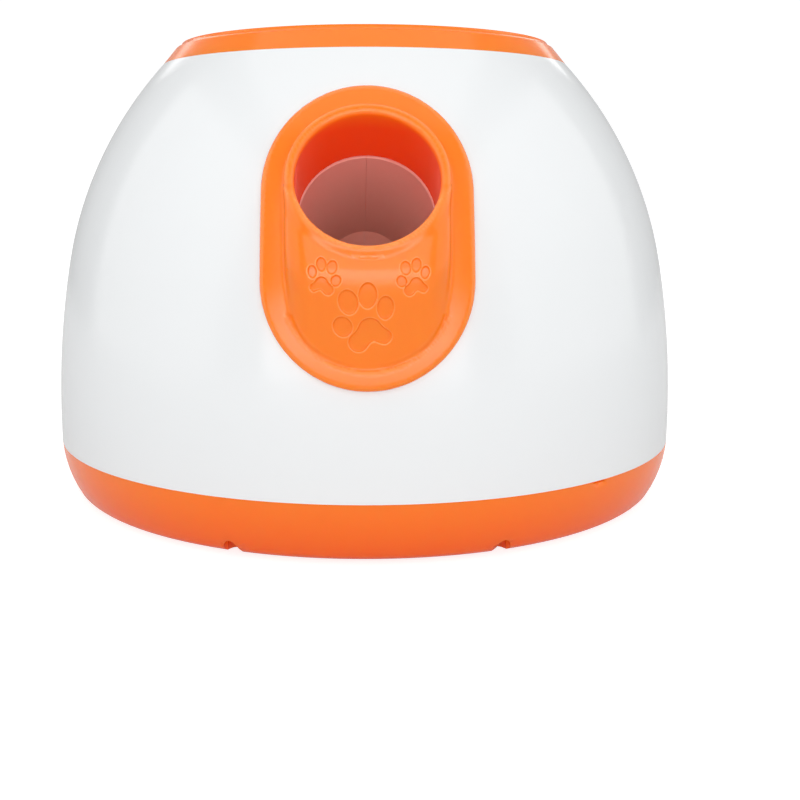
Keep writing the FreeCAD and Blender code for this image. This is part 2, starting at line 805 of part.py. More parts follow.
def from_bore(point):
    """Distance of a point from the launch axis."""
    depth = mouth_depth(point)
    foot = on_axis(0, depth, 0)
    return point.distanceToPoint(Vector(*[float(value) for value in foot]))


def hook_skin(name, reach, near, far):
    """Strip round the window, between two depths behind the outside of the dome."""
    strip = cut(name + "_strip", upright_prism(name + "_edge", PLUG_HALF + reach,
                                               PLUG_FOOT - reach, PLUG_HEAD + reach),
                [upright_prism(name + "_middle", PLUG_HALF - hook_wall, PLUG_FOOT + hook_wall,
                               PLUG_HEAD - hook_wall)])
    layer = cut(name + "_layer",
                dome_solid(name + "_outer", -near, near * CROWN_SHIFT),
                [dome_solid(name + "_inner", -far, far * CROWN_SHIFT)])
    return common(name, [strip, layer])


def make_hood_hooks():
    """Four tongues with barbs that snap in behind the edge of the window."""
    tongue = hook_skin("hook_tongue", -fit_gap, shell_wall - 1, shell_wall + 3)
    barb = hook_skin("hook_barb", 1.2, shell_wall + 0.2, shell_wall + 3)
    spaces = [box("hook_space_%d" % number, (-60, -dome_radius, height - 5),
                  (60, 40 - dome_radius, height + 5))
              for number, height in enumerate((MOUTH_Z - hook_drop, MOUTH_Z + hook_rise))]
    return common("hood_hooks", [fuse("hook_mass", [tongue, barb]),
                                 fuse("hook_spaces", spaces)])


def make_muzzle_hood():
    dome = dome_solid("hood_dome", 0.1, 0.1)
    flange = common("hood_flange", [
        upright_prism("flange_prism", FLANGE_HALF, FLANGE_FOOT, FLANGE_HEAD),
        cut("flange_skin", dome_solid("flange_dome", flange_lift, flange_lift), [dome])])
    back = dome_solid("hood_back", -shell_wall, shell_wall * CROWN_SHIFT)
    hooks = make_hood_hooks()
    plug = common("hood_plug", [
        upright_prism("plug_prism", PLUG_HALF - fit_gap, PLUG_FOOT + fit_gap,
                      PLUG_HEAD - fit_gap),
        cut("plug_skin", dome_solid("plug_dome", flange_lift / 2, flange_lift / 2), [back])])
    block = extrude("hood_block", free_sketch("hood_block_outline", "XY",
                                              hood_block_path(HOOD_FRONT)),
                    Vector(0, 0, 1), HOOD_FOOT - 4, MOUTH_Z - HOOD_FOOT + 1.5)
    raised = cut("hood_raised", common("raised_mass", [
        block, upright_prism("raised_prism", HOOD_HALF, HOOD_FOOT,
                             MOUTH_Z + hood_radius * 2)]),
        [box("before_mouth", (-60, -70, -90), (60, 0, 90), tilted=True)])
    raised_round = round_edges("raised_round", raised, HOOD_EDGE,
                               lambda point: abs(mouth_depth(point)) < 0.1)
    barrel = cylinder("hood_barrel", hood_radius, hood_depth, on_axis(0, 0, 0), "launch")
    barrel_round = round_edges("barrel_round", barrel, HOOD_EDGE,
                               lambda point: abs(mouth_depth(point)) < 0.1)
    outside = cut("hood_outside", fuse("hood_mass", [raised_round, barrel_round]),
                  [back])
    tube = cylinder("hood_tube", mouth_bore + 2.2, hood_depth - 1, on_axis(0, 1, 0), "launch")
    body = fuse("hood_body", [outside, flange, plug, tube, hooks])
    bore = cone("hood_bore", mouth_bore, barrel_bore + 0.2, hood_depth + 0.2,
                on_axis(0, -0.1, 0))
    hollow = cut("hood_hollow", common("hood_hollow_mass", [
        extrude("hollow_block", free_sketch("hollow_outline", "XY",
                                            hood_block_path(HOOD_FRONT - 2.8)),
                Vector(0, 0, 1), HOOD_FOOT + 4, MOUTH_Z - HOOD_FOOT - 4),
        upright_prism("hollow_prism", hood_radius - 2.8, HOOD_FOOT + 2.8,
                      MOUTH_Z + hood_radius * 2)]),
        [cylinder("hollow_core", mouth_bore + 2.4, hood_depth * 2,
                  on_axis(0, -hood_depth / 2, 0), "launch"),
         box("hollow_front", (-60, -70, -90), (60, 3, 90), tilted=True)])
    rough = cut("hood_rough", body, [bore, hollow])
    return round_edges("muzzle_hood", rough, 1.2,
                       lambda point: abs(mouth_depth(point)) < 0.1
                       and from_bore(point) < mouth_bore + 0.3)


HOOD_EDGE = 2                                    # rounding of the rim of the mouth
HOOD_HALF = hood_radius - 0.3                    # half width of the raised part under the rim


# ---------------------------------------------------------------- barrel with the ball chute
def make_barrel_halves():
    front = hood_depth + fit_gap
    outer = barrel_bore + tube_wall
    sleeve = mouth_bore + 2.2 + fit_gap
    mass = fuse("barrel_mass", [
        cylinder("barrel_outer", outer, BARREL_END - front, on_axis(0, front, 0), "launch"),
        cylinder("barrel_sleeve", sleeve + tube_wall, as_size(15),
                 on_axis(0, front - 12, 0), "launch"),
        cylinder("chute_outer", chute_bore + tube_wall, chute_top - fit_gap - seat_height,
                 (0, 0, seat_height)),
        cylinder("sensor_sockets", 4.6, (outer + 3) * 2, on_axis(-outer - 3, SENSOR, 0), "x"),
        box("lug_top", (-6, 56, outer - 2), (6, 66, outer + 9), tilted=True),
        box("lug_bottom", (-6, 56, -outer - 9), (6, 66, 2 - outer), tilted=True),
        box("lug_rear", (-6, LIP - 12, -outer - 9), (6, LIP - 2, 2 - outer), tilted=True),
        box("lug_chute", (-6, chute_bore + 1, chute_top - 24),
            (6, chute_bore + 12, chute_top - 14))])
    whole = cut("barrel_whole", mass, [
        cylinder("barrel_inner", barrel_bore, LIP - front + 30, on_axis(0, front - 30, 0),
                 "launch"),
        cylinder("barrel_exit", striker_radius + 1, BARREL_END - LIP + 5,
                 on_axis(0, LIP - 2, 0), "launch"),
        cylinder("sleeve_inner", sleeve, as_size(12) + fit_gap / 2,
                 on_axis(0, front - 12 - fit_gap / 2, 0), "launch"),
        cylinder("chute_inner", chute_bore, chute_top - seat_height, (0, 0, seat_height + 0.5)),
        cylinder("beam_holes", 1.6, (outer + 1) * 2, on_axis(-outer - 1, SENSOR, 0), "x"),
        cylinder("emitter_seat", 3, 5, on_axis(-outer - 5, SENSOR, 0), "x"),
        cylinder("receiver_seat", 3, 5, on_axis(outer, SENSOR, 0), "x"),
        box("barrel_trim", (-40, BARREL_END, -40), (40, BARREL_END + 30, GUIDE_TOP + fit_gap),
            tilted=True)]
        + [cylinder("lug_hole_%d" % number, 1.2, 14, place_, "x")
           for number, place_ in enumerate(barrel_screw_places(-7))])
    seam = as_size(0.05)
    halves = []
    for name, low, high in (("barrel_left", -60, -seam), ("barrel_right", seam, 60)):
        half = box(name + "_side", (low, MOUTH_Y - 10, 0), (high, BARREL_END, MOUTH_Z + 60))
        halves.append(common(name, [whole, half]))
    return halves


SENSOR = SEAT - 34                               # light barrier across the barrel


def barrel_screw_places(x):
    lug = barrel_bore + tube_wall + 5
    return [on_axis(x, 61, lug), on_axis(x, 61, -lug), on_axis(x, LIP - 7, -lug),
            (as_size(x), chute_bore + 7, chute_top - 19)]


def make_barrel_screws():
    return group("barrel_screws", [
        screw("barrel_screw_%d" % number, place_, "x", 1.2, 11, 2.5, 2)
        for number, place_ in enumerate(barrel_screw_places(-8))])


def make_ball_sensor():
    """Light emitter and receiver that face each other across the waiting ball."""
    reach = barrel_bore + tube_wall
    parts = []
    for name, side in (("ir_emitter", -1), ("ir_receiver", 1)):
        x = reach * side if side > 0 else -reach - 4
        parts.append(cylinder(name, 3, 4, on_axis(x, SENSOR, 0), "x"))
    return parts


# ---------------------------------------------------------------- striker drive
LAUNCH_TURN = (Vector(-1, 0, 0), tilt)


def on_launch(item):
    """Lay a body, drawn with Y as depth and Z as height above the axis, on the launch axis."""
    x, y, z = on_axis(0, 0, 0)
    return place(item, x, y, z, *LAUNCH_TURN)


def make_striker():
    """Round head, neck and a crosshead that slides on the two rods."""
    body = new_body("striker")
    head = body_sketch(body, "head_outline", "XZ", -(STRIKER + 3))
    draw_circle(head, (0, 0), striker_radius)
    pad(body, "head", head, HEAD_BACK - STRIKER - 3, reverse=True)
    cross = body_sketch(body, "cross_outline", "XZ", -(HEAD_BACK - 1))
    low, high = ROD_LEVEL - 6, ROD_LEVEL + 3.6
    half = rod_half_pitch + 5.5
    draw_outline(cross, [(-half, low + 2), (-half + 2, low), (half - 2, low), (half, low + 2),
                         (half, high), (-half, high)])
    pad(body, "cross", cross, CROSS_BACK - HEAD_BACK + 1, reverse=True)
    rib = body_sketch(body, "rib_outline", "YZ", -1.5)
    draw_outline(rib, [(HEAD_BACK - 0.5, high - 0.5), (CROSS_BACK, high - 0.5),
                       (HEAD_BACK - 0.5, striker_radius - 3)])
    pad(body, "rib", rib, 3)
    doc.recompute()
    for number, side in enumerate((-1, 1)):
        hole = body_sketch(body, "rod_hole_%d" % number, "XZ", -(HEAD_BACK - 6))
        draw_circle(hole, (rod_half_pitch * side, ROD_LEVEL), rod_radius + rod_gap)
        pocket(body, "rod_bore_%d" % number, hole, CROSS_BACK - HEAD_BACK + 12)
    return on_launch(body)


def make_striker_pad():
    """Soft face with a rounded edge."""
    body = new_body("striker_pad")
    sketch = body_sketch(body, "pad_outline", "YZ")
    draw_outline(sketch, [
        (STRIKER, as_size(0)), (STRIKER, striker_radius - 2), Arc(1.5, 1),
        (STRIKER + 1.5, striker_radius - 0.5), (STRIKER + 3, striker_radius - 0.5),
        (STRIKER + 3, as_size(0))])
    revolve(body, "pad", sketch, "Y_Axis")
    return on_launch(body)


def make_rack():
    """Toothed bar behind the crosshead; its pitch line is tangent to the sector gear."""
    body = new_body("rack")
    pitch = rack_module * math.pi
    slope = math.tan(math.radians(20))
    tip, root = RACK_LINE + rack_module * 0.95, RACK_LINE - rack_module * 1.25
    tip_half = pitch / 4 - rack_module * 0.95 * slope - 0.1
    root_half = pitch / 4 + rack_module * 1.25 * slope - 0.1
    bottom = ROD_LEVEL - 3
    path = [(CROSS_BACK, bottom)]
    end = SECTOR_S + pitch * 1.1
    path += [(end, bottom), (end, root)]
    for number in range(SECTOR_CUT):
        centre = SECTOR_S + pitch * (0.5 - number)
        path += [(centre + root_half, root), (centre + tip_half, tip),
                 (centre - tip_half, tip), (centre - root_half, root)]
    path.append((CROSS_BACK, root))
    sketch = body_sketch(body, "rack_outline", "YZ", -rack_width / 2)
    draw_outline(sketch, path)
    pad(body, "bar", sketch, rack_width)
    return on_launch(body)


def make_guide_rods():
    start = BARREL_END + 1
    return group("guide_rods", [
        cylinder("guide_rod_%d" % number, rod_radius, REAR_PLATE + BULKHEAD - start,
                 on_axis(rod_half_pitch * side, start, ROD_LEVEL), "launch")
        for number, side in enumerate((-1, 1))])


def make_drive_springs():
    parts = []
    length = REAR_PLATE - CROSS_BACK - spring_wire * 2 - 0.2
    turns = 9
    for name, side in (("drive_spring_left", -1), ("drive_spring_right", 1)):
        helix = doc.addObject("Part::Helix", name + "_path")
        bind(helix, Pitch=length / turns, Height=length, Radius=spring_radius)
        wire = doc.addObject("Part::RegularPolygon", name + "_wire")
        wire.Polygon = 6
        bind(wire, Circumradius=spring_wire)
        place(wire, spring_radius, 0, 0, Vector(1, 0, 0), 90)
        coil = doc.addObject("Part::Sweep", name)
        coil.Sections = [wire]
        coil.Spine = (helix, ["Edge1"])
        coil.Solid = True
        coil.Frenet = True
        x, y, z = on_axis(rod_half_pitch * side, CROSS_BACK + spring_wire + 0.1, ROD_LEVEL)
        parts.append(place(coil, x, y, z, Vector(-1, 0, 0), 90 + tilt))
    return parts


def make_guide_plates():
    """Front plate behind the barrel and rear plate, which carry the rods between them."""
    plates = []
    for name, start, low, high in (("front_guide", BARREL_END, -20, GUIDE_TOP),
                                   ("rear_guide", REAR_PLATE, -11, 5)):
        body = new_body(name)
        half = plate_inner
        sketch = body_sketch(body, name + "_outline", "XZ", -start)
        draw_outline(sketch, [(-half, as_size(low)), (half, as_size(low)), (half, as_size(high)),
                              (-half, as_size(high))])
        pad(body, name + "_plate", sketch, BULKHEAD, reverse=True)
        doc.recompute()
        hole = body_sketch(body, name + "_holes", "XZ", -start + 1)
        for side in (-1, 1):
            draw_circle(hole, (rod_half_pitch * side, ROD_LEVEL), rod_radius)
        pocket(body, name + "_bores", hole, BULKHEAD + 2)
        window = body_sketch(body, name + "_window", "XZ", -start + 1)
        if name == "front_guide":
            draw_circle(window, (0, 0), striker_radius + 1)
        else:
            draw_box(window, -rack_width / 2 - 1, rack_width / 2 + 1, ROD_LEVEL - 4,
                     as_size(high + 2))
        pocket(body, name + "_opening", window, BULKHEAD + 2)
        plates.append(on_launch(body))
    return plates


SECTOR = on_axis(0, SECTOR_S, SECTOR_N)[1:]      # (y, z) of the output shaft
COMPOUND_ANGLE = 105                             # from the output shaft to the compound gear
MOTOR_ANGLE = 360 / motor_wheel_teeth * 15       # from the compound gear to the motor
COMPOUND = (SECTOR[0] + (WHEEL_RADIUS + PINION_RADIUS) * cos_of(COMPOUND_ANGLE),
            SECTOR[1] + (WHEEL_RADIUS + PINION_RADIUS) * sin_of(COMPOUND_ANGLE))
MOTOR = (COMPOUND[0] + (MOTOR_WHEEL_RADIUS + MOTOR_PINION_RADIUS) * cos_of(MOTOR_ANGLE),
         COMPOUND[1] + (MOTOR_WHEEL_RADIUS + MOTOR_PINION_RADIUS) * sin_of(MOTOR_ANGLE))
PILLARS = [(SECTOR[0] + 20, SECTOR[1] - 31), (SECTOR[0] - 36, SECTOR[1] - 20),
           (MOTOR[0] - 24, MOTOR[1] + 4), (COMPOUND[0] + 28, COMPOUND[1] + 6)]


def side_plate_path():
    front = on_axis(0, BARREL_END, -20)
    top = on_axis(0, BARREL_END, GUIDE_TOP)
    foot = FLOOR
    rear = SECTOR[0] + 27
    return [(front[1], foot), (rear, foot), (rear + 2, SECTOR[1] + 6),
            (COMPOUND[0] + 32, COMPOUND[1] + 12), (MOTOR[0] + 20, MOTOR[1] + 21),
            (MOTOR[0] - 22, MOTOR[1] + 21), (MOTOR[0] - 30, MOTOR[1] + 6),
            (top[1] - 3, top[2] + 2), (front[1], front[2] + 6)]


def make_side_plates():
    parts = []
    for name, start in (("gearbox_plate_left", -PLATE_OUTER), ("gearbox_plate_right", plate_inner)):
        body = new_body(name)
        sketch = body_sketch(body, name + "_outline", "YZ", start)
        draw_outline(sketch, side_plate_path())
        pad(body, name + "_plate", sketch, plate_wall)
        foot = body_sketch(body, name + "_foot_outline", "XY", FLOOR)
        low, high = (start - 9, start + 1) if name.endswith("left") else (
            PLATE_OUTER - 1, PLATE_OUTER + 9)
        draw_box(foot, low, high, SECTOR[0] - 60, SECTOR[0] + 18)
        pad(body, name + "_foot", foot, 3)
        doc.recompute()
        holes = body_sketch(body, name + "_holes", "YZ", start - 1)
        draw_circle(holes, SECTOR, shaft_radius + 2)
        draw_circle(holes, COMPOUND, 2)
        if name.endswith("right"):
            draw_circle(holes, MOTOR, 6.5)
            for side in (-1, 1):
                draw_circle(holes, (MOTOR[0] + 12.5 * side, MOTOR[1]), 1.7)
        else:
            draw_circle(holes, (SECTOR[0] - 42, SECTOR[1] - 26), 10)
        pocket(body, name + "_bores", holes, plate_wall + 2, reverse=True)
        feet = body_sketch(body, name + "_screw_holes", "XY", FLOOR - 1)
        for x, y in frame_screw_places():
            if (x < 0) == (start < 0):
                draw_circle(feet, (x, y), 1.5)
        pocket(body, name + "_screw_bores", feet, 6, reverse=True)
        parts.append(body)
    return parts


def make_gear_cover():
    body = new_body("gear_cover")
    sketch = body_sketch(body, "cover_outline", "YZ", COVER)
    draw_outline(sketch, [
        (PILLARS[1][0] - 5, PILLARS[1][1] - 5), (PILLARS[0][0] + 5, PILLARS[0][1] - 5),
        (SECTOR[0] + 26, SECTOR[1]), (PILLARS[3][0] + 6, PILLARS[3][1] + 5),
        (MOTOR[0] + 6, MOTOR[1] + 12), (PILLARS[2][0] - 5, PILLARS[2][1] + 6),
        (PILLARS[2][0] - 5, PILLARS[2][1] - 8), (PILLARS[1][0] - 5, PILLARS[1][1] + 12)])
    pad(body, "cover", sketch, 2.5)
    doc.recompute()
    holes = body_sketch(body, "cover_holes", "YZ", COVER - 1)
    draw_circle(holes, SECTOR, shaft_radius + 0.1)
    draw_circle(holes, COMPOUND, 2)
    for place_ in PILLARS:
        draw_circle(holes, place_, 1.7)
    pocket(body, "cover_bores", holes, 5, reverse=True)
    return body


def make_pillars():
    return group("gearbox_pillars", [
        cylinder("pillar_%d" % number, 4, cover_space, (PLATE_OUTER, y, z), "x")
        for number, (y, z) in enumerate(PILLARS)])


def make_gearbox_screws():
    parts = []
    for number, (y, z) in enumerate(PILLARS):
        head = cylinder("pillar_screw_head_%d" % number, 3, 2, (COVER + 2.5, y, z), "x")
        shank = cylinder("pillar_screw_shank_%d" % number, 1.5, 2.5, (COVER, y, z), "x")
        parts.append(fuse("pillar_screw_%d" % number, [head, shank]))
    return group("gearbox_screws", parts)


def make_bushes():
    parts = []
    for name, start in (("bush_left", -PLATE_OUTER), ("bush_right", plate_inner)):
        tube = cylinder(name + "_body", shaft_radius + 2, plate_wall, (start, *SECTOR), "x")
        lip_start = plate_inner - 1.5 if start > 0 else -plate_inner
        lip = cylinder(name + "_lip", shaft_radius + 3.5, 1.5, (lip_start, *SECTOR), "x")
        bore = cylinder(name + "_bore", shaft_radius + 0.05, 20, (start - 8, *SECTOR), "x")
        parts.append(cut(name, fuse(name + "_mass", [tube, lip]), [bore]))
    return group("shaft_bushes", parts)


def on_shaft(body, centre, angle):
    """Set a gear, drawn round X, on its shaft and turn it to its meshing angle."""
    return place(body, 0, centre[0], centre[1], Vector(1, 0, 0), angle)


def make_sector_gear():
    """Only part of the circle has teeth, so the rack is let go when they run out."""
    body = new_body("sector_gear")
    root = rack_module * (sector_teeth / 2 - 1.25)
    disc(body, "sector_disc", root, -rack_width / 2 + 1, rack_width - 2)
    disc(body, "sector_hub", shaft_radius + 4, -12, 24)
    add_teeth(body, "sector_tooth", rack_module, sector_teeth, rack_width - 2,
              -rack_width / 2 + 1, SECTOR_CUT)
    doc.recompute()
    bore = body_sketch(body, "sector_bore", "YZ", -13)
    draw_circle(bore, (0, 0), shaft_radius)
    pocket(body, "sector_hole", bore, 26, reverse=True)
    return on_shaft(body, SECTOR, 150 - tilt)


def make_output_wheel():
    body = new_body("output_wheel")
    start = PLATE_OUTER + 2
    root = wheel_module * (wheel_teeth / 2 - 1.25)
    disc(body, "wheel_disc", root, start, gear_width)
    add_teeth(body, "wheel_tooth", wheel_module, wheel_teeth, gear_width, start)
    disc(body, "wheel_hub", shaft_radius + 4, start - 1.5, gear_width + 6)
    doc.recompute()
    bore = body_sketch(body, "wheel_bore", "YZ", start - 4)
    draw_circle(bore, (0, 0), shaft_radius)
    pocket(body, "wheel_hole", bore, gear_width + 12, reverse=True)
    holes = body_sketch(body, "wheel_window", "YZ", start - 4)
    draw_circle(holes, (WHEEL_RADIUS * 0.58, 0), 6)
    window = pocket(body, "wheel_windows", holes, gear_width + 12, reverse=True)
    around(body, "wheel_window_ring", window, "X_Axis", 5)
    return on_shaft(body, SECTOR, COMPOUND_ANGLE)


def make_output_shaft():
    start = -PLATE_OUTER - 3
    return cylinder("output_shaft", shaft_radius, COVER + 1 - start, (start, *SECTOR), "x")


def make_compound_gear():
    body = new_body("compound_gear")
    start = PLATE_OUTER + 1.5
    wheel_start = start + gear_width + 1
    disc(body, "compound_core", wheel_module * (pinion_teeth / 2 - 1.25), start, gear_width + 7)
    add_teeth(body, "small_tooth", wheel_module, pinion_teeth, gear_width + 1.5, start)
    disc(body, "compound_wheel", motor_module * (motor_wheel_teeth / 2 - 1.25), wheel_start, 6)
    add_teeth(body, "large_tooth", motor_module, motor_wheel_teeth, 6, wheel_start)
    doc.recompute()
    bore = body_sketch(body, "compound_bore", "YZ", start - 2)
    draw_circle(bore, (0, 0), 2.06)
    pocket(body, "compound_hole", bore, gear_width + 14, reverse=True)
    return on_shaft(body, COMPOUND, 0)


def make_compound_pin():
    return cylinder("compound_pin", 2, COVER + 2.5 - plate_inner, (plate_inner, *COMPOUND), "x")


def make_motor():
    start = plate_inner - motor_length
    can = cylinder("can_body", motor_radius, motor_length, (start, *MOTOR), "x")
    boss = cylinder("can_boss", 6.4, 3, (plate_inner, *MOTOR), "x")
    hole = cylinder("can_bore", 2, 12, (plate_inner - 8, *MOTOR), "x")
    motor = cut("motor_can", fuse("can_mass", [can, boss]), [hole])
    cap_ring = cylinder("cap_ring", motor_radius - 1.5, 4, (start - 4, *MOTOR), "x")
    cap_boss = cylinder("cap_boss", 5, 7, (start - 7, *MOTOR), "x")
    tabs = [box("motor_tab_%d" % number, (start - 9, MOTOR[0] - 2 + 10 * side, MOTOR[1] - 0.4),
                (start - 3, MOTOR[0] + 2 + 10 * side, MOTOR[1] + 0.4))
            for number, side in enumerate((-1, 1))]
    cap = fuse("motor_endcap", [cap_ring, cap_boss] + tabs)
    body = new_body("motor_pinion")
    first = PLATE_OUTER + gear_width + 2
    disc(body, "pinion_core", motor_module * (pinion_teeth / 2 - 1.25), first, 7)
    add_teeth(body, "pinion_tooth", motor_module, pinion_teeth, 7, first)
    disc(body, "motor_shaft", 1.6, plate_inner - 6, COVER - plate_inner + 4)
    on_shaft(body, MOTOR, MOTOR_ANGLE + 180 + 180 / pinion_teeth - 360)
    screws = group("motor_screws", [
        fuse("motor_screw_%d" % number, [
            cylinder("motor_screw_head_%d" % number, 2.8, 2,
                     (PLATE_OUTER, MOTOR[0] + 12.5 * side, MOTOR[1]), "x"),
            cylinder("motor_screw_shank_%d" % number, 1.5, plate_wall,
                     (plate_inner, MOTOR[0] + 12.5 * side, MOTOR[1]), "x")])
        for number, side in enumerate((-1, 1))])
    return [motor, cap, body, screws]


# ---------------------------------------------------------------- battery bay
def make_battery_box():
    """Open at the underside; the door in the base closes it."""
    front = bay_rear - bay_length
    top = FLOOR + cell_radius * 2 + 3
    shell = box("bay_outer", (-bay_half - bay_wall, front - bay_wall, FLOOR),
                (bay_half + bay_wall, bay_rear + bay_wall, top + bay_wall))
    inner = box("bay_inner", (-bay_half, front, FLOOR - 1), (bay_half, bay_rear, top))
    return cut("battery_box", shell, [inner])


CELL_Z = base_gap + base_wall + cell_radius + 0.6
COLUMNS = (-1, 0, 1)


def make_cells():
    parts = []
    for column in COLUMNS:
        x = (cell_radius * 2 + 0.8) * column
        for number in range(2):
            y = bay_rear - bay_length + 5 + (cell_length + 0.4) * number
            name = "cell_%d_%d" % (column + 1, number)
            parts.append(fuse(name, [
                cylinder(name + "_body", cell_radius, cell_length - 2, (x, y, CELL_Z), "y"),
                cylinder(name + "_cap", 3.5, 2, (x, y + cell_length - 2, CELL_Z), "y")]))
    return group("battery_cells", parts)


def make_contacts():
    parts = []
    front = bay_rear - bay_length
    for column in COLUMNS:
        x = (cell_radius * 2 + 0.8) * column
        parts.append(box("contact_plate_%d" % (column + 1), (x - 8, bay_rear - 0.8, CELL_Z - 8),
                         (x + 8, bay_rear, CELL_Z + 8)))
        spring = doc.addObject("Part::Cone", "contact_spring_%d" % (column + 1))
        bind(spring, Radius1=5.5, Radius2=3, Height=4.4)
        parts.append(place(spring, x, front, CELL_Z, Vector(-1, 0, 0), 90))
    return group("battery_contacts", parts)


def make_battery_door():
    """Plate flush with the underside; its rear edge is the hinge barrel."""
    rear = DOOR_PIN_Y
    plate = box("door_plate", (-DOOR_HALF, DOOR_FRONT, base_gap),
                (DOOR_HALF, rear, FLOOR - 0.2))
    barrel = cylinder("door_barrel", 1.5, DOOR_HALF * 2, (-DOOR_HALF, rear, DOOR_PIN_Z), "x")
    bore = cylinder("door_bore", 0.86, DOOR_HALF * 2 + 2, (-DOOR_HALF - 1, rear, DOOR_PIN_Z), "x")
    grip = cylinder("door_grip", 9, 1.2, (0, DOOR_FRONT + 14, base_gap - 0.2))
    slots = [box("door_slot_%d" % number, (7 * side - 0.6, DOOR_FRONT - 1, 0),
                 (7 * side + 0.6, DOOR_FRONT + 10, FLOOR + 1))
             for number, side in enumerate((-1, 1))]
    return cut("battery_door", fuse("door_mass", [plate, barrel]), [bore, grip] + slots)


def make_door_pin():
    return cylinder("door_pin", 0.8, DOOR_HALF * 2 + 10, (-DOOR_HALF - 5, DOOR_PIN_Y, DOOR_PIN_Z),
                    "x")


# ---------------------------------------------------------------- rear control panel
BUTTON = (-4, panel_height - 3)
LENSES = [(-12, panel_height + 10.5), (-4, panel_height + 10.5), (4, panel_height + 10.5)]
INLET = (-21, panel_height)
ROCKER = (17, panel_height)
BOARD_FACE = PANEL_FACE - 14


def rear_prism(name, grow, start, length):
    sketch = free_sketch(name + "_outline", "XZ", panel_path(grow))
    return extrude(name, sketch, Vector(0, 1, 0), start, length)


def make_rear_panel():
    shell = common("panel_shell", [
        rear_prism("panel_prism", 0, PANEL_FACE - panel_wall, as_size(20)),
        dome_solid("panel_dome", -0.4, -0.4)])
    recess = rear_prism("panel_recess", -2, PANEL_FACE, as_size(20))
    flange = common("panel_flange", [
        rear_prism("panel_flange_prism", 4, PANEL_FACE - panel_wall - 10, as_size(20)),
        cut("panel_flange_skin",
            dome_solid("panel_flange_dome", -shell_wall - 0.1, -5),
            [dome_solid("panel_flange_back", -shell_wall - 2.1, -8)])])
    inner = rear_prism("panel_flange_hole", -1, PANEL_FACE - 30, as_size(28.5))
    ring = cut("panel_ring", flange, [inner])
    posts = [cylinder("panel_post_%d" % number, 2, PANEL_FACE - panel_wall - BOARD_FACE + 0.5,
                      (x, BOARD_FACE, z), "y")
             for number, (x, z) in enumerate([(-12, panel_height - 12), (4, panel_height - 12)])]
    ears = []
    for side in (-1, 1):
        name = "panel_ear_%d" % (side + 1)
        inner_x, outer_x = sorted([(panel_half_width + 1) * side, (PANEL_SCREW + 4) * side],
                                  key=float)
        leg_x, leg_end = sorted([(panel_half_width + 1) * side, (panel_half_width + 3.5) * side],
                                key=float)
        ears.append(cut(name, fuse(name + "_mass", [
            box(name + "_plate", (inner_x, PANEL_EAR - 2.5, panel_height - 4),
                (outer_x, PANEL_EAR, panel_height + 4)),
            box(name + "_leg", (leg_x, PANEL_EAR - 2.5, panel_height - 4),
                (leg_end, PANEL_FACE - 4, panel_height + 4))]),
            [cylinder(name + "_hole", 1.7, 6, (PANEL_SCREW * side, PANEL_EAR - 4, panel_height),
                      "y")]))
    mass = fuse("panel_mass", [shell, ring] + posts + ears)
    depth = PANEL_FACE - panel_wall - 6
    holes = [cylinder("button_hole", button_radius + 0.3, 12, (BUTTON[0], depth, BUTTON[1]), "y"),
             cylinder("inlet_hole", 4.6, 12, (INLET[0], depth, INLET[1]), "y"),
             box("rocker_hole", (ROCKER[0] - 6.4, depth, ROCKER[1] - 9.9),
                 (ROCKER[0] + 6.4, PANEL_FACE + 2, ROCKER[1] + 9.9))]
    holes += [cylinder("lens_hole_%d" % number, 1.6, 12, (x, depth, z), "y")
              for number, (x, z) in enumerate(LENSES)]
    return cut("rear_panel", mass, [recess] + holes)


def make_panel_screws():
    return group("panel_screws", [
        screw("panel_screw_%d" % number, (x, PANEL_EAR - 5, panel_height), "y", 1.5,
              PANEL_BOSS - 1, 3, 2.5)
        for number, x in enumerate((-PANEL_SCREW, PANEL_SCREW))])


def make_button():
    cap = cylinder("button_cap", button_radius, panel_wall + 4.2,
                   (BUTTON[0], PANEL_FACE - panel_wall - 2.4, BUTTON[1]), "y")
    lip = cylinder("button_lip", button_radius + 1.2, 1.2,
                   (BUTTON[0], PANEL_FACE - panel_wall - 2.4, BUTTON[1]), "y")
    rounded = round_edges("button_top", cap, 0.8,
                          lambda point: point.y > PANEL_FACE + 1.5)
    return fuse("mode_button", [rounded, lip])


def make_panel_items():
    back = PANEL_FACE - panel_wall
    lenses = group("indicator_lenses", [
        cylinder("lens_%d" % number, 1.6, panel_wall + 0.5, (x, back, z), "y")
        for number, (x, z) in enumerate(LENSES)])
    leds = group("indicator_leds", [
        cylinder("led_%d" % number, 1.5, back - BOARD_FACE - 0.5, (x, BOARD_FACE, z), "y")
        for number, (x, z) in enumerate(LENSES)])
    board = box("panel_board", (-16, BOARD_FACE - 1.6, panel_height - 15),
                (9, BOARD_FACE, panel_height + 14))
    switch = fuse("tact_switch", [
        box("tact_body", (BUTTON[0] - 3, BOARD_FACE, BUTTON[1] - 3),
            (BUTTON[0] + 3, BOARD_FACE + 3.5, BUTTON[1] + 3)),
        cylinder("tact_stem", 1.7, as_size(5), (BUTTON[0], BOARD_FACE + 3, BUTTON[1]), "y")])
    inlet_mass = fuse("inlet_mass", [
        cylinder("inlet_tube", 4.5, panel_wall + 8, (INLET[0], back - 8, INLET[1]), "y"),
        cylinder("inlet_collar", 6, 1.6, (INLET[0], PANEL_FACE, INLET[1]), "y"),
        cylinder("inlet_nut", 6, 2, (INLET[0], back - 2, INLET[1]), "y")])
    inlet = fuse("dc_inlet", [
        cut("inlet_socket", inlet_mass,
            [cylinder("inlet_bore", 2.9, 12, (INLET[0], back - 6, INLET[1]), "y")]),
        cylinder("inlet_pin", 1, panel_wall + 6, (INLET[0], back - 7, INLET[1]), "y")])
    return [lenses, leds, board, switch, inlet]


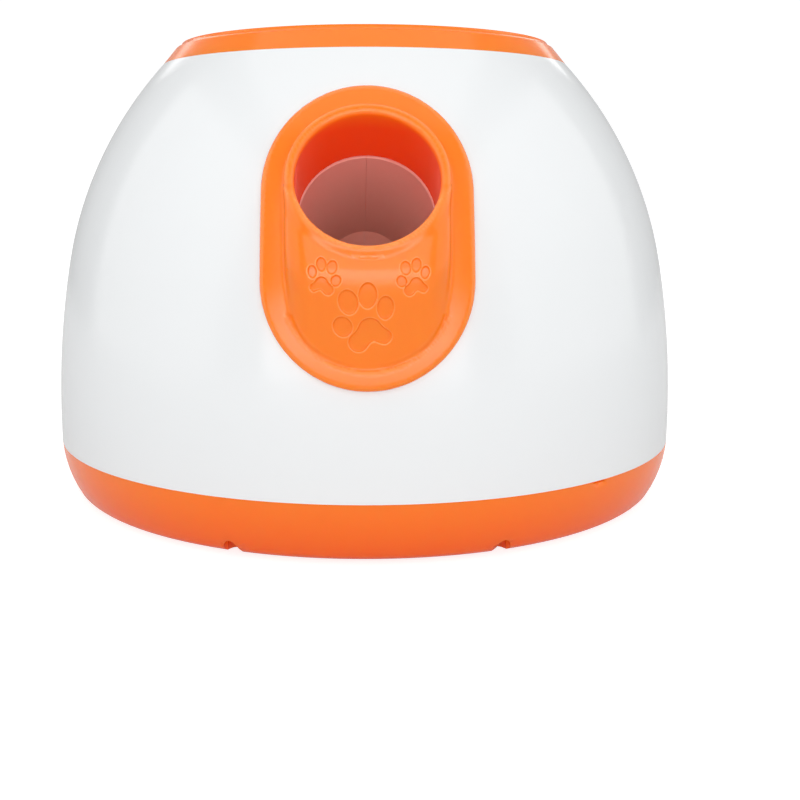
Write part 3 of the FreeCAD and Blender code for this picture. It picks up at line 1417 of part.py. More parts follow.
def make_power_switch():
    back = PANEL_FACE - panel_wall
    case = cut("power_switch", fuse("switch_mass", [
        box("switch_case", (ROCKER[0] - 6.2, back - 12, ROCKER[1] - 9.7),
            (ROCKER[0] + 6.2, PANEL_FACE, ROCKER[1] + 9.7)),
        box("switch_frame", (ROCKER[0] - 7.4, PANEL_FACE, ROCKER[1] - 11),
            (ROCKER[0] + 7.4, PANEL_FACE + 1.4, ROCKER[1] + 11))]),
        [box("switch_well", (ROCKER[0] - 5.2, back - 6, ROCKER[1] - 8.7),
             (ROCKER[0] + 5.2, PANEL_FACE + 3, ROCKER[1] + 8.7)),
         cylinder("switch_pin_hole", 0.8, 14, (ROCKER[0] - 7, back + 0.5, ROCKER[1]), "x")])
    sketch = free_sketch("rocker_outline", "YZ", [
        (as_size(-2.2), as_size(-3)), (as_size(2), as_size(-8.2)), (as_size(4.2), as_size(-7.8)),
        (as_size(3.4), as_size(0)), (as_size(4.2), as_size(7.8)), (as_size(2), as_size(8.2)),
        (as_size(-2.2), as_size(3))])
    rocker = extrude("rocker_blank", sketch, Vector(1, 0, 0), 0, as_size(10))
    place(rocker, ROCKER[0] - 5, back + 0.5, ROCKER[1], Vector(1, 0, 0), 8)
    pin = cylinder("rocker_pin", 0.8, 12.2, (ROCKER[0] - 6.1, back + 0.5, ROCKER[1]), "x")
    hole = cylinder("rocker_bore", 0.86, 14, (ROCKER[0] - 7, back + 0.5, ROCKER[1]), "x")
    return [case, cut("power_rocker", rocker, [hole]), pin]


# ---------------------------------------------------------------- main board
def make_main_board():
    face = -PLATE_OUTER - 6
    low_y, high_y = MOTOR[0] - 22, MOTOR[0] + 34
    low_z, high_z = COMPOUND[1] - 18, COMPOUND[1] + 26
    back = face - 1.6
    corners = [(low_y + 4, low_z + 4), (high_y - 4, low_z + 4), (low_y + 4, high_z - 4),
               (high_y - 4, high_z - 4)]
    board = cut("main_board", box("board_plate", (back, low_y, low_z), (face, high_y, high_z)), [
        cylinder("board_hole_%d" % number, 1.4, 4, (back - 1, y, z), "x")
        for number, (y, z) in enumerate(corners)])
    posts = group("board_spacers", [
        cut("board_spacer_%d" % number,
            cylinder("spacer_body_%d" % number, 2.5, 6, (face, y, z), "x"),
            [cylinder("spacer_bore_%d" % number, 1.2, 5, (face - 1, y, z), "x")])
        for number, (y, z) in enumerate(corners)])
    screws = group("board_screws", [
        screw("board_screw_%d" % number, (back - 1.8, y, z), "x", 1.2, 5.4, 2.4, 1.8)
        for number, (y, z) in enumerate(corners)])
    relay = box("relay", (back - 15, low_y + 8, low_z + 8), (back, low_y + 27, low_z + 23))
    chip = box("controller_chip", (back - 2, low_y + 32, low_z + 12), (back, low_y + 46, low_z + 20))
    capacitors = group("capacitors", [
        cylinder("capacitor_%d" % number, 4, 11, (back - 11, low_y + 12 + 11 * number, high_z - 8),
                 "x") for number in range(2)])
    buzzer = cylinder("buzzer", 6, 8, (back - 8, high_y - 14, high_z - 12), "x")
    return [board, posts, screws, relay, chip, capacitors, buzzer]


def build():
    parts = [make_base_tray(), make_feet(), make_base_screws(), make_frame_screws(),
             make_body_shell(),
             make_top_hopper(), make_hopper_screws(), make_muzzle_hood()]
    parts += make_barrel_halves() + [make_barrel_screws()] + make_ball_sensor()
    parts += [make_striker(), make_striker_pad(), make_rack(), make_guide_rods()]
    parts += make_drive_springs() + make_guide_plates() + make_side_plates()
    parts += [make_gear_cover(), make_pillars(), make_gearbox_screws(), make_bushes(),
              make_sector_gear(), make_output_wheel(), make_output_shaft(),
              make_compound_gear(), make_compound_pin()]
    parts += make_motor()
    parts += [make_battery_box(), make_cells(), make_contacts(), make_battery_door(),
              make_door_pin(), make_rear_panel(), make_panel_screws(), make_button()]
    parts += make_panel_items() + make_power_switch() + make_main_board()
    return parts


def check_and_write(parts):
    """Stop on any failed object or bad shape, then write one STEP file per node."""
    doc.recompute()
    for item in doc.Objects:
        if "Invalid" in item.State or "Error" in item.State:
            raise RuntimeError("%s failed: %s" % (item.Name, item.State))
    os.makedirs("parts", exist_ok=True)
    for item in parts:
        if item.Shape.isNull() or not item.Shape.isValid():
            raise RuntimeError("%s has a bad shape" % item.Label)
        item.Shape.exportStep("parts/%s.step" % item.Label)
        print("%-22s %2d solids %10.1f mm3" % (item.Label, len(item.Shape.Solids),
                                              item.Shape.Volume))


check_and_write(build())
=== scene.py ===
"""Domed ball launcher for dogs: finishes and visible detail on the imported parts."""

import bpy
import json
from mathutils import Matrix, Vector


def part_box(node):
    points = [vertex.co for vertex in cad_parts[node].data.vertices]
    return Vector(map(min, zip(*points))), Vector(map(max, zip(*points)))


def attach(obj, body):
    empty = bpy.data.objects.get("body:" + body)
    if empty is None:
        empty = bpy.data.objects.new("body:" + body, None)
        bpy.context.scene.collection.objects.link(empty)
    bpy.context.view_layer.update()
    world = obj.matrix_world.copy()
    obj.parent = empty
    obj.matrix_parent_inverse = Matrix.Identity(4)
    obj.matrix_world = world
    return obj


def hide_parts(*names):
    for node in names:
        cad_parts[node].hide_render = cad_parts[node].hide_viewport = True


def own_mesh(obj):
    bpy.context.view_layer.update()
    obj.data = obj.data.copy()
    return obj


bl_info = {
    "name": "Dog ball launcher",
    "version": (1, 0, 0),
    "blender": (4, 5, 0),
    "location": "View3D > Sidebar > Launcher",
    "description": "Finishes, moulded detail and a plain stage for a domed ball launcher",
    "category": "Object",
}

import functools
import itertools
import json
import math

import bmesh
import bpy
import numpy as np
from mathutils import Vector

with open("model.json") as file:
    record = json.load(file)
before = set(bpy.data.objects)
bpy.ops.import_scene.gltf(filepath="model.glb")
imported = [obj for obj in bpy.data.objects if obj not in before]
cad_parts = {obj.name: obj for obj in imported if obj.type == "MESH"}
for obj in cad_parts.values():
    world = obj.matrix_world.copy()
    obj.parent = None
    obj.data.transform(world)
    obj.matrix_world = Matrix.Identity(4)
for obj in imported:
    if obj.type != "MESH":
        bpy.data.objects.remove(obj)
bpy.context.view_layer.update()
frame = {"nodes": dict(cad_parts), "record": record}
NODES = frame["nodes"]
BEHAVIOUR = frame["record"]["behaviour"]
BODY_OF = {name: body for body, names in BEHAVIOUR["bodies"].items() for name in names}
SLOT_OF = {row["node"]: row["material_slot"] for row in frame["record"]["subparts"]}
MM = 0.001


# ---------------------------------------------------------------- settings
def colour_setting(label, about, value):
    """Colour of a finish."""
    return bpy.props.FloatVectorProperty(
        name=label, description=about, subtype="COLOR", size=3, min=0, max=1, default=value)


def length_setting(label, about, millimetres):
    """Length, written in millimetres and kept in metres."""
    return bpy.props.FloatProperty(
        name=label, description=about, subtype="DISTANCE", unit="LENGTH",
        default=millimetres * MM, precision=5)


def angle_setting(label, about, degrees):
    """Angle, written in degrees and kept in radians."""
    return bpy.props.FloatProperty(
        name=label, description=about, subtype="ANGLE", default=math.radians(degrees))


class LauncherFinish(bpy.types.PropertyGroup):
    """Colours and gloss of the finishes"""
    orange: colour_setting("Orange", "Colour of the moulded trim", (1.0, 0.235, 0.01))
    white: colour_setting("White", "Colour of the dome", (0.90, 0.92, 0.93))
    # the barrel halves are white; their pink is painted, standing in for orange light bounced onto
    # them
    barrel: colour_setting("Barrel", "Colour of the barrel halves", (0.95, 0.63, 0.55))
    black: colour_setting("Black", "Colour of the small black mouldings", (0.012, 0.012, 0.013))
    grey: colour_setting("Grey", "Colour of the glass filled frame", (0.10, 0.105, 0.115))
    acetal: colour_setting("Acetal", "Colour of the gears", (0.72, 0.70, 0.62))
    board: colour_setting("Board", "Colour of the solder mask", (0.008, 0.09, 0.035))
    lens: colour_setting("Lens", "Colour of the indicator lenses", (0.60, 0.02, 0.015))
    gloss: bpy.props.FloatProperty(
        name="Gloss roughness", description="Roughness of the polished mouldings",
        subtype="FACTOR", min=0, max=1, default=0.16)


class LauncherDetail(bpy.types.PropertyGroup):
    """Sizes of the moulded and wound detail"""
    paw_depth: length_setting("Paw depth", "Depth of the sunk paw prints", 0.85)
    recess: length_setting("Recess", "Radius of the screw recesses in the base", 3.7)
    wire: length_setting("Spring wire", "Radius of the wire of the drive springs", 0.8)
    coil: length_setting("Spring coil", "Radius of the drive springs' coils", 4.6)
    turns: bpy.props.FloatProperty(
        name="Spring turns", description="Turns of a drive spring", default=9.0)


class LauncherStage(bpy.types.PropertyGroup):
    """Camera and lamps"""
    distance: length_setting("Camera distance", "Camera to the dome axis", 556.7)
    height: length_setting("Camera height", "Camera above the table", 146.8)
    lens: bpy.props.FloatProperty(
        name="Lens", description="Focal length in mm", unit="CAMERA", default=51.26)
    pitch: angle_setting("Pitch", "How far the camera looks down", 5.85)
    turn: angle_setting("Turn", "Camera to the left of the muzzle", 0.48)
    key: bpy.props.FloatProperty(name="Lamps", description="Scale of the lamps", default=1.02)


# ---------------------------------------------------------------- materials
STEEL, BRONZE, DRAWN_CAN = (0.56, 0.57, 0.58), (0.55, 0.36, 0.13), (0.66, 0.67, 0.69)
# painted highlight: a paler orange for convex edges, most of all on those facing up
# painted shade: a redder orange that stands in for the shade in the bore and low on the base
PAINTED_SHADE_ORANGE, PAINTED_HIGHLIGHT_ORANGE = (1.0, 0.085, 0.008), (1.0, 0.36, 0.10)
PAINTED_GLOW_RED = (1.0, 0.05, 0.0, 1)                       # painted glow: red light that the orange plastic gives out by itself, lifting its shade
SPREAD, SPREAD_DEPTH = (1.0, 0.18, 0.06), 6 * MM     # how far light runs inside orange plastic
MOTTLE_SCALE, MOTTLE_LOW, MOTTLE_HIGH = 14.0, 0.3, 0.7    # slow change of tone and gloss
LEAST_ROUGH = 0.02
GRAIN_STRENGTH = 0.25


def shader(name):
    """New material with its node tree and its main shader."""
    material = bpy.data.materials.new(name)
    material.use_nodes = True
    tree = material.node_tree
    return material, tree, tree.nodes["Principled BSDF"]


def node(tree, kind, inputs=None, **settings):
    """Adds a node, sets its attributes and its inputs, which are values or sockets."""
    made = tree.nodes.new(kind)
    for key, value in settings.items():
        setattr(made, key, value)
    for key, value in (inputs or {}).items():
        if isinstance(value, bpy.types.NodeSocket):
            tree.links.new(value, made.inputs[key])
        else:
            made.inputs[key].default_value = value
    return made


def maths(tree, operation, first, second=0.0):
    """Result of an operation on values or sockets."""
    return node(tree, "ShaderNodeMath", {0: first, 1: second}, operation=operation).outputs[0]


def place_of(tree, stretch):
    """Object coordinates, stretched."""
    where = node(tree, "ShaderNodeTexCoord")
    return node(tree, "ShaderNodeMapping",
                {"Vector": where.outputs["Object"], "Scale": stretch}).outputs["Vector"]


def blend_colour(tree, factor, first, second):
    """Colour between two others."""
    factor_socket, first_socket, second_socket, result = 0, 6, 7, 2
    return node(tree, "ShaderNodeMix", {
        factor_socket: factor, first_socket: first, second_socket: second},
        data_type="RGBA").outputs[result]


def tinted(tree, shade, attribute, colour):
    """Blends a colour in by the share that a mesh attribute gives; no colour leaves the shade."""
    if colour is None:
        return shade
    share = node(tree, "ShaderNodeAttribute", attribute_name=attribute).outputs["Fac"]
    return blend_colour(tree, share, shade, (*colour, 1))


def moulded(name, base, rough, swing=0.04, grain=1800.0, depth=0.004, tone=0.03,
            stretch=(1, 1, 1), metallic=0.0, coat=0.0, glow=0.0, deep=None,
            painted_highlight=None, painted_glow=0.0):
    """Plastic or plated metal: fine skin, uneven gloss and a slight change of tone; it can also
    take painted shade, painted highlights and a painted glow.
    """
    material, tree, main = shader(name)
    at = place_of(tree, stretch)
    broad = node(tree, "ShaderNodeTexNoise", {"Vector": at, "Scale": MOTTLE_SCALE, "Detail": 3.0})
    fine = node(tree, "ShaderNodeTexNoise", {"Vector": at, "Scale": grain, "Detail": 2.0})
    gloss = node(tree, "ShaderNodeMapRange", {
        "Value": broad.outputs["Fac"], "From Min": MOTTLE_LOW, "From Max": MOTTLE_HIGH,
        "To Min": max(rough - swing, LEAST_ROUGH), "To Max": rough + swing})
    darker = [channel * (1 - tone) for channel in base]
    shade = blend_colour(tree, broad.outputs["Fac"], (*darker, 1), (*base, 1))
    # painted shade: redder orange where the mesh's deep share is high
    shade = tinted(tree, shade, "deep", deep)
    # painted highlight: paler orange on the edges that the mesh marks
    shade = tinted(tree, shade, "painted_highlight", painted_highlight)
    bump = node(tree, "ShaderNodeBump", {
        "Height": fine.outputs["Fac"], "Strength": GRAIN_STRENGTH, "Distance": depth * MM})
    tree.links.new(shade, main.inputs["Base Color"])
    tree.links.new(gloss.outputs["Result"], main.inputs["Roughness"])
    tree.links.new(bump.outputs["Normal"], main.inputs["Normal"])
    # Emission Color and Strength set a painted glow: red light from the plastic itself
    for key, value in (("Metallic", metallic), ("Coat Weight", coat),
                       ("Subsurface Weight", glow), ("Subsurface Radius", SPREAD),
                       ("Subsurface Scale", SPREAD_DEPTH), ("Emission Color", PAINTED_GLOW_RED),
                       ("Emission Strength", painted_glow)):
        main.inputs[key].default_value = value
    return material


def every_material():
    """The finishes by the names of the record's slots."""
    use = bpy.context.scene.launcher_finish
    return {
        # the orange takes painted shade, painted highlights and a painted glow
        "orange_plastic": moulded("orange moulding", use.orange, use.gloss, glow=0.4,
                                  deep=PAINTED_SHADE_ORANGE, painted_highlight=PAINTED_HIGHLIGHT_ORANGE, painted_glow=0.12),
        "white_plastic": moulded("white gloss moulding", use.white, use.gloss, tone=0.015),
        # painted reflection: white barrel coloured pink for the orange light bounced onto it
        "barrel_plastic": moulded("satin white moulding", use.barrel, 0.34, tone=0.04),
        "black_plastic": moulded("black moulding", use.black, 0.38, grain=900.0, depth=0.02),
        "grey_plastic": moulded("glass filled moulding", use.grey, 0.46, grain=700.0,
                                depth=0.03, tone=0.15),
        "gear_plastic": moulded("acetal", use.acetal, 0.33, depth=0.006),
        "rubber_black": moulded("foot rubber", use.black, 0.72, grain=1100.0, depth=0.05),
        "steel": moulded("plated steel", STEEL, 0.26, swing=0.08, metallic=1.0,
                         stretch=(1, 1, 6), tone=0.12),
        "brass_parts": moulded("sintered bronze", BRONZE, 0.38, metallic=1.0,
                               grain=2600.0, depth=0.02, tone=0.2),
        "light_metal": moulded("drawn can", DRAWN_CAN, 0.3, metallic=1.0,
                               stretch=(0.1, 1, 1), grain=900.0, depth=0.01, tone=0.08),
        "circuit_board": moulded("solder mask", use.board, 0.24, tone=0.25, coat=0.4),
        "red_lens": moulded("tinted lens", use.lens, 0.1, tone=0.05, coat=0.5),
    }


FINISH = {}


class LAUNCHER_OT_finishes(bpy.types.Operator):
    """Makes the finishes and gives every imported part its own"""
    bl_idname = "launcher.finishes"
    bl_label = "Finishes"

    def execute(self, context):
        FINISH.update(every_material())
        for name, slot in SLOT_OF.items():
            part = NODES[name]
            part.data.materials.clear()
            part.data.materials.append(FINISH[slot])
        return {"FINISHED"}


# ---------------------------------------------------------------- pieces
ROUND_EDGE = 50.0                               # degrees past which an edge is drawn sharp


def linked(name, data):
    """New object in the scene."""
    made = bpy.data.objects.new(name, data)
    bpy.context.scene.collection.objects.link(made)
    return made


def applied(holder):
    """Mesh of an object with its modifiers applied; the object is removed."""
    ready = holder.evaluated_get(bpy.context.evaluated_depsgraph_get())
    mesh = bpy.data.meshes.new_from_object(ready)
    bpy.data.objects.remove(holder)
    return mesh


def weld(mesh, nearest):
    """Joins the points of a mesh that lie together and turns its faces outwards."""
    work = bmesh.new()
    work.from_mesh(mesh)
    bmesh.ops.remove_doubles(work, verts=work.verts, dist=nearest)
    bmesh.ops.recalc_face_normals(work, faces=work.faces)
    work.to_mesh(mesh)
    work.free()


def points_of(mesh):
    """Points of a mesh as rows of x, y and z in metres."""
    at = np.empty(len(mesh.vertices) * 3)
    mesh.vertices.foreach_get("co", at)
    return at.reshape(-1, 3)


def mark(mesh, name, values):
    """Gives each point of a mesh a value that its material reads."""
    mesh.attributes.new(name, "FLOAT", "POINT").data.foreach_set("value", values)


def shaded(mesh, sharp=ROUND_EDGE):
    """Smooth mesh with sharp edges, whose large faces look flat."""
    mesh.shade_smooth()
    mesh.set_sharp_from_angle(angle=math.radians(sharp))
    holder = linked("shading", mesh)
    modifier = holder.modifiers.new("shading", "WEIGHTED_NORMAL")
    modifier.mode, modifier.weight, modifier.keep_sharp = "FACE_AREA", 100, True
    return applied(holder)


def stand_for(name, mesh, *nodes):
    """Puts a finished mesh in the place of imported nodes, on their body and in their finish."""
    slot = SLOT_OF[nodes[0]]
    mesh.materials.clear()
    mesh.materials.append(FINISH[slot])
    piece = linked(name, mesh)
    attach(piece, BODY_OF[nodes[0]])
    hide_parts(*nodes)
    return piece


# ---------------------------------------------------------------- muzzle hood
# lengths in millimetres, as in the construction; the mouth and the dome come from the frame
TILT = math.radians(27.0)                       # slope of the barrel
DOME_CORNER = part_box("body_shell")[1]
DOME_RADIUS = DOME_CORNER[0] / MM
MOUTH_INSET, BORE_HEIGHT = 10.3, 76.5           # mouth inside the dome; bore at the dome's axis
MOUTH = (MOUTH_INSET - DOME_RADIUS,
         BORE_HEIGHT + (DOME_RADIUS - MOUTH_INSET) * math.tan(TILT))

# outline of the dome: a long arc round the belly's height, then from the shoulder a shorter
# one up to the crown's edge, which is given as a radius and a height
SIDE_ARC, CROWN_ARC = 402.0, 181.0
BELLY, SHOULDER, CROWN = 40.7, 107.0, (DOME_RADIUS - 49.6, DOME_CORNER[2] / MM)
SHELL_WALL = 2.8

# raised block, an upright slot seen from the front, whose face leans back towards its foot
HOOD_HALF, HOOD_FOOT, HOOD_HEAD = 31.5, MOUTH[1] - 69.3, MOUTH[1] + 63.6
HOOD_FRONT, HOOD_CORNER = DOME_RADIUS + 4.9, 12.0
FACE_TOP, FACE_BEND, FACE_LEAN = MOUTH[1] - 2.5, 114.0, 0.13
FACE_EDGE, FACE_BLEND = 2.2, 8.0                # rounding of its outline; meeting of its slopes

# slanted rim round the mouth, the bore in it and the tube that holds the barrel
RIM_RADIUS, RIM_LIFT, RIM_LIP, RIM_FILLET = 31.0, 2.4, 1.8, 2.5
BORE_RADIUS, BORE_LIFT = 27.2, 1.5
TUBE_RADIUS, TUBE_START, TUBE_END = 30.4, 1.0, 33.0

# flange on the dome: half width, foot and head of its outline, and the groove round the block's
# foot, which a lower filling bridges
FLANGE = (40.2, HOOD_FOOT - 7.6, MOUTH[1] + 36.7)
FLANGE_RISE, FLANGE_EDGE, FLANGE_GAP, FLANGE_FILLET = 2.6, 1.6, 0.1, 1.0
GROOVE_TOP, GROOVE_EDGE = HOOD_FOOT + 20, 1.3
FILLING_TOP, FILLING_EDGE, FILLING_RISE, FILLING_FILLET = HOOD_FOOT + 22, 3.0, 1.1, 0.5

# plug in the dome's opening: half width, foot and head; its hooks start and end at depths below
# the dome's outside
PLUG = (35.7, MOUTH[1] - 75.3, MOUTH[1] + 31.7)
PLUG_GAP, PLUG_RISE = 0.3, 1.5
HOOK_HEIGHTS, HOOK_HALF, HOOK_WALL = (MOUTH[1] - 53, MOUTH[1] + 3), 5.0, 2.5
HOOK_START, BARB_START, HOOK_END, BARB_REACH = 1.8, 3.0, SHELL_WALL + 3, 1.2

# room behind the block's face
ROOM_WALL, ROOM_SIDE, ROOM_BORE, ROOM_DEPTH = 2.8, 2.5, 30.6, 8.0
ROOM_FOOT, ROOM_TOP, ROOM_HEAD = HOOD_FOOT + 4, MOUTH[1], MOUTH[1] + 60

# toes of a paw: centre, half width, half height and lean in degrees, from the paw's middle
TOES = ((1.6, 8.3, 3.0, 4.3, -2), (-5.0, 6.0, 3.2, 4.2, 14), (7.6, 4.1, 2.7, 3.9, -3),
        (-6.9, -2.5, 3.1, 3.5, 26))
# lobes of its pad: centre and radius
PAD = ((-1.5, -7.9, 3.3), (7.2, -5.9, 2.5), (2.4, -3.4, 3.9))
PAD_FILLET = 2.6
# paws: middle in x and z, size and lean; a negative size is a mirror image
PAWS = ((-1.8, 95.2, 1.07, 0), (16.2, 110.3, 0.57, -4), (-15.6, 110.6, -0.57, 4))
PAW_WALL, PAW_BACK = 0.3, -130.0                # half width of their walls; only in front of this y

GRID_CELL, GRID_MARGIN = 0.9, 2.03
PAW_NEAR, PAW_CUTS = 1.05, 3                    # faces this near to a paw's outline are divided
BORE_SHADE_RADIUS, BORE_SHADE_FADE, BORE_SHADE_DEPTH = 29.0, 0.8, 4.0          # painted shade: the inside of the bore is painted a redder orange
HIGHLIGHT_START, HIGHLIGHT_SPAN, HIGHLIGHT_UPRIGHT = 0.2, 0.9, 0.55         # painted highlight: paler edges, by their curvature


def rounded_and(first, second, radius):
    """Overlap of two distance fields with a rounded outer edge."""
    return (np.minimum(-radius, np.maximum(first, second))
            + np.hypot(np.maximum(first + radius, 0), np.maximum(second + radius, 0)))


def rounded_or(first, second, radius):
    """Union of two distance fields with a fillet in the corner between them."""
    return -rounded_and(-first, -second, radius)


def soft_and(first, second, width):
    """Overlap of two distance fields with a wide soft edge between shallow slopes."""
    near = np.maximum(width - np.abs(first - second), 0)
    return np.maximum(first, second) + near ** 2 / (4 * width)


def overlap(*fields):
    """Overlap of distance fields with plain edges."""
    return functools.reduce(np.maximum, fields)


def slot_field(x, z, half, foot, head):
    """Distance to an upright slot outline."""
    return np.hypot(x, z - np.clip(z, foot + half, head - half)) - half


def block_field(x, y, front):
    """Distance to the plan outline of the raised block."""
    reach = np.hypot(x, y) - (front - HOOD_CORNER)
    side = np.abs(x) - (HOOD_HALF - HOOD_CORNER)
    return (np.minimum(np.maximum(reach, side), 0)
            + np.hypot(np.maximum(reach, 0), np.maximum(side, 0)) - HOOD_CORNER)


def face_front(z):
    """How far from the dome's axis the block's face stands at a height."""
    return HOOD_FRONT - FACE_LEAN * np.maximum(FACE_BEND - z, 0)


def crown_centre():
    """Centre of the upper arc of the dome, in radius and height."""
    shoulder = DOME_RADIUS - SIDE_ARC + math.sqrt(SIDE_ARC ** 2 - (SHOULDER - BELLY) ** 2)
    start, end = np.array([shoulder, SHOULDER]), np.array(CROWN)
    way = end - start
    half = np.linalg.norm(way) / 2
    left = np.array([-way[1], way[0]]) / (2 * half)
    return (start + end) / 2 + left * math.sqrt(CROWN_ARC ** 2 - half ** 2)


def dome_field(x, y, z):
    """Distance outside the dome."""
    reach = np.hypot(x, y)
    low = np.hypot(reach - (DOME_RADIUS - SIDE_ARC), z - BELLY) - SIDE_ARC
    across, up = crown_centre()
    high = np.hypot(reach - across, z - up) - CROWN_ARC
    return np.where(z < SHOULDER, low, high)


def along_bore(y, z):
    """Depth behind the mouth and height across the bore."""
    cosine, sine = math.cos(TILT), math.sin(TILT)
    return ((y - MOUTH[0]) * cosine - (z - MOUTH[1]) * sine,
            (y - MOUTH[0]) * sine + (z - MOUTH[1]) * cosine)


def leaning(across, up, degrees):
    """Coordinates along axes that lean by an angle."""
    angle = math.radians(degrees)
    return (across * math.cos(angle) + up * math.sin(angle),
            up * math.cos(angle) - across * math.sin(angle))


def paw_field(x, z):
    """Signed distance to the outlines of all paws."""
    nearest = np.full(np.shape(x), np.inf)
    for middle, height, size, lean in PAWS:
        across, up = leaning(x - middle, z - height, lean)
        across, up = across / size, up / abs(size)
        lobes = [np.hypot(across - u, up - v) - radius for u, v, radius in PAD]
        field = lobes[0]
        for lobe in lobes[1:]:
            field = rounded_or(field, lobe, PAD_FILLET)
        for u, v, wide, tall, slant in TOES:
            a, b = leaning(across - u, up - v, slant)
            toe = (np.hypot(a / wide, b / tall) - 1) * min(wide, tall)
            field = np.minimum(field, toe)
        nearest = np.minimum(nearest, field * abs(size))
    return nearest


def sunk(x, y, z):
    """Share of the paws' depth at a place: 1 inside their outlines, with smooth walls."""
    share = np.clip(0.5 - paw_field(x, z) / (2 * PAW_WALL), 0, 1)
    return share * share * (3 - 2 * share) * (y < PAW_BACK)


def block_and_rim(x, y, z, slot):
    """Raised block with the slanted rim of the mouth."""
    depth, rise = along_bore(y, z)
    block = rounded_and(block_field(x, y, face_front(z)), slot, FACE_EDGE)
    block = soft_and(np.maximum(block, z - FACE_TOP), -depth, FACE_BLEND)
    rim = np.maximum(np.hypot(x, rise - RIM_LIFT) - RIM_RADIUS, depth - TUBE_END)
    return rounded_or(block, rounded_and(rim, -depth, RIM_LIP), RIM_FILLET)


def flange_field(x, z, slot, dome):
    """Flange that lies on the dome."""
    flange = rounded_and(slot_field(x, z, *FLANGE), dome - FLANGE_RISE, FLANGE_EDGE)
    flange = rounded_and(flange, -np.maximum(slot, z - GROOVE_TOP), GROOVE_EDGE)
    filling = overlap(slot - FILLING_EDGE, z - FILLING_TOP, dome - FILLING_RISE)
    return np.maximum(rounded_or(flange, filling, FILLING_FILLET), FLANGE_GAP - dome)


def plug_and_hooks(x, z, dome):
    """Plug that sits in the dome's opening and the hooks that snap behind its wall."""
    edge = slot_field(x, z, *PLUG)
    plug = overlap(edge + PLUG_GAP, dome - PLUG_RISE, -SHELL_WALL - dome)
    hook = overlap(edge + PLUG_GAP, -HOOK_END - dome, dome + HOOK_START)
    barb = overlap(edge - BARB_REACH, -HOOK_END - dome, dome + BARB_START)
    level = np.minimum(*(np.abs(z - height) for height in HOOK_HEIGHTS)) - HOOK_HALF
    return np.minimum(plug, overlap(np.minimum(hook, barb), -HOOK_WALL - edge, level))


def room_field(x, y, z):
    """Room between the block's face and the tube."""
    depth, rise = along_bore(y, z)
    slot = slot_field(x, z, HOOD_HALF - ROOM_SIDE, HOOD_FOOT + ROOM_WALL, ROOM_HEAD)
    return overlap(block_field(x, y, face_front(z) - ROOM_WALL), slot,
                   ROOM_BORE - np.hypot(x, rise), ROOM_DEPTH - depth, ROOM_FOOT - z, z - ROOM_TOP)


def hood_field(x, y, z):
    """Signed distance to the muzzle hood."""
    depth, rise = along_bore(y, z)
    dome = dome_field(x, y, z)
    slot = slot_field(x, z, HOOD_HALF, HOOD_FOOT, HOOD_HEAD)
    hood = np.maximum(block_and_rim(x, y, z, slot), -SHELL_WALL - dome)
    hood = rounded_or(hood, flange_field(x, z, slot, dome), FLANGE_FILLET)
    hood = hood + bpy.context.scene.launcher_detail.paw_depth / MM * sunk(x, y, z)
    tube = overlap(np.hypot(x, rise) - TUBE_RADIUS, TUBE_START - depth, depth - TUBE_END)
    hood = np.minimum(np.minimum(hood, tube), plug_and_hooks(x, z, dome))
    lift = BORE_LIFT * np.clip(1 - depth / TUBE_END, 0, 1)
    hood = rounded_and(hood, BORE_RADIUS - np.hypot(x, rise - lift), RIM_LIP)
    return np.maximum(hood, -room_field(x, y, z))


def shifts(step):
    """Steps along the three axes."""
    return step * np.eye(3)


def slope(field, points, step=0.02):
    """Gradient of a distance field at points."""
    columns = [field(*(points + shift).T) - field(*(points - shift).T) for shift in shifts(step)]
    return np.stack(columns, 1) / (2 * step)


def painted_highlight_share(field, points, step=0.5):
    """Share of painted highlight: high on convex edges, most of all on those that face up."""
    total = -6 * field(*points.T)
    for shift in shifts(step):
        total += field(*(points + shift).T) + field(*(points - shift).T)
    up = slope(field, points)[:, 2]
    return (np.clip((total / step ** 2 - HIGHLIGHT_START) / HIGHLIGHT_SPAN, 0, 1)
            * np.clip(HIGHLIGHT_UPRIGHT + up, 0, 1))


def settle(field, points, rounds=4, most=0.6, least_slope=0.2):
    """Moves points onto the zero surface of a distance field, by a little in each round."""
    for _ in range(rounds):
        uphill = slope(field, points)
        steep = np.maximum((uphill ** 2).sum(1), least_slope)
        move = uphill * (field(*points.T) / steep)[:, None]
        size = np.maximum(np.linalg.norm(move, axis=1) / most, 1)
        points = points - move / size[:, None]
    return points


def crossed_cells(grid):
    """Which grid cells the zero surface crosses, and the mean of its crossings in each."""
    shape = [size - 1 for size in grid.shape]
    count, place = np.zeros(shape), np.zeros(shape + [3])

    def at_corner(corner):
        """Values at one corner of every cell."""
        return grid[tuple(slice(c, c + size) for c, size in zip(corner, shape))]

    for first, axis in itertools.product(itertools.product((0, 1), repeat=3), range(3)):
        if first[axis]:
            continue
        second = tuple(1 if i == axis else c for i, c in enumerate(first))
        here, there = at_corner(first), at_corner(second)
        crossed = (here < 0) != (there < 0)
        part = np.where(crossed, here / np.where(crossed, here - there, 1), 0)
        count += crossed
        for i in range(3):
            place[..., i] += crossed * (first[i] + (part if i == axis else 0))
    used = count > 0
    return used, place[used] / count[used][:, None]


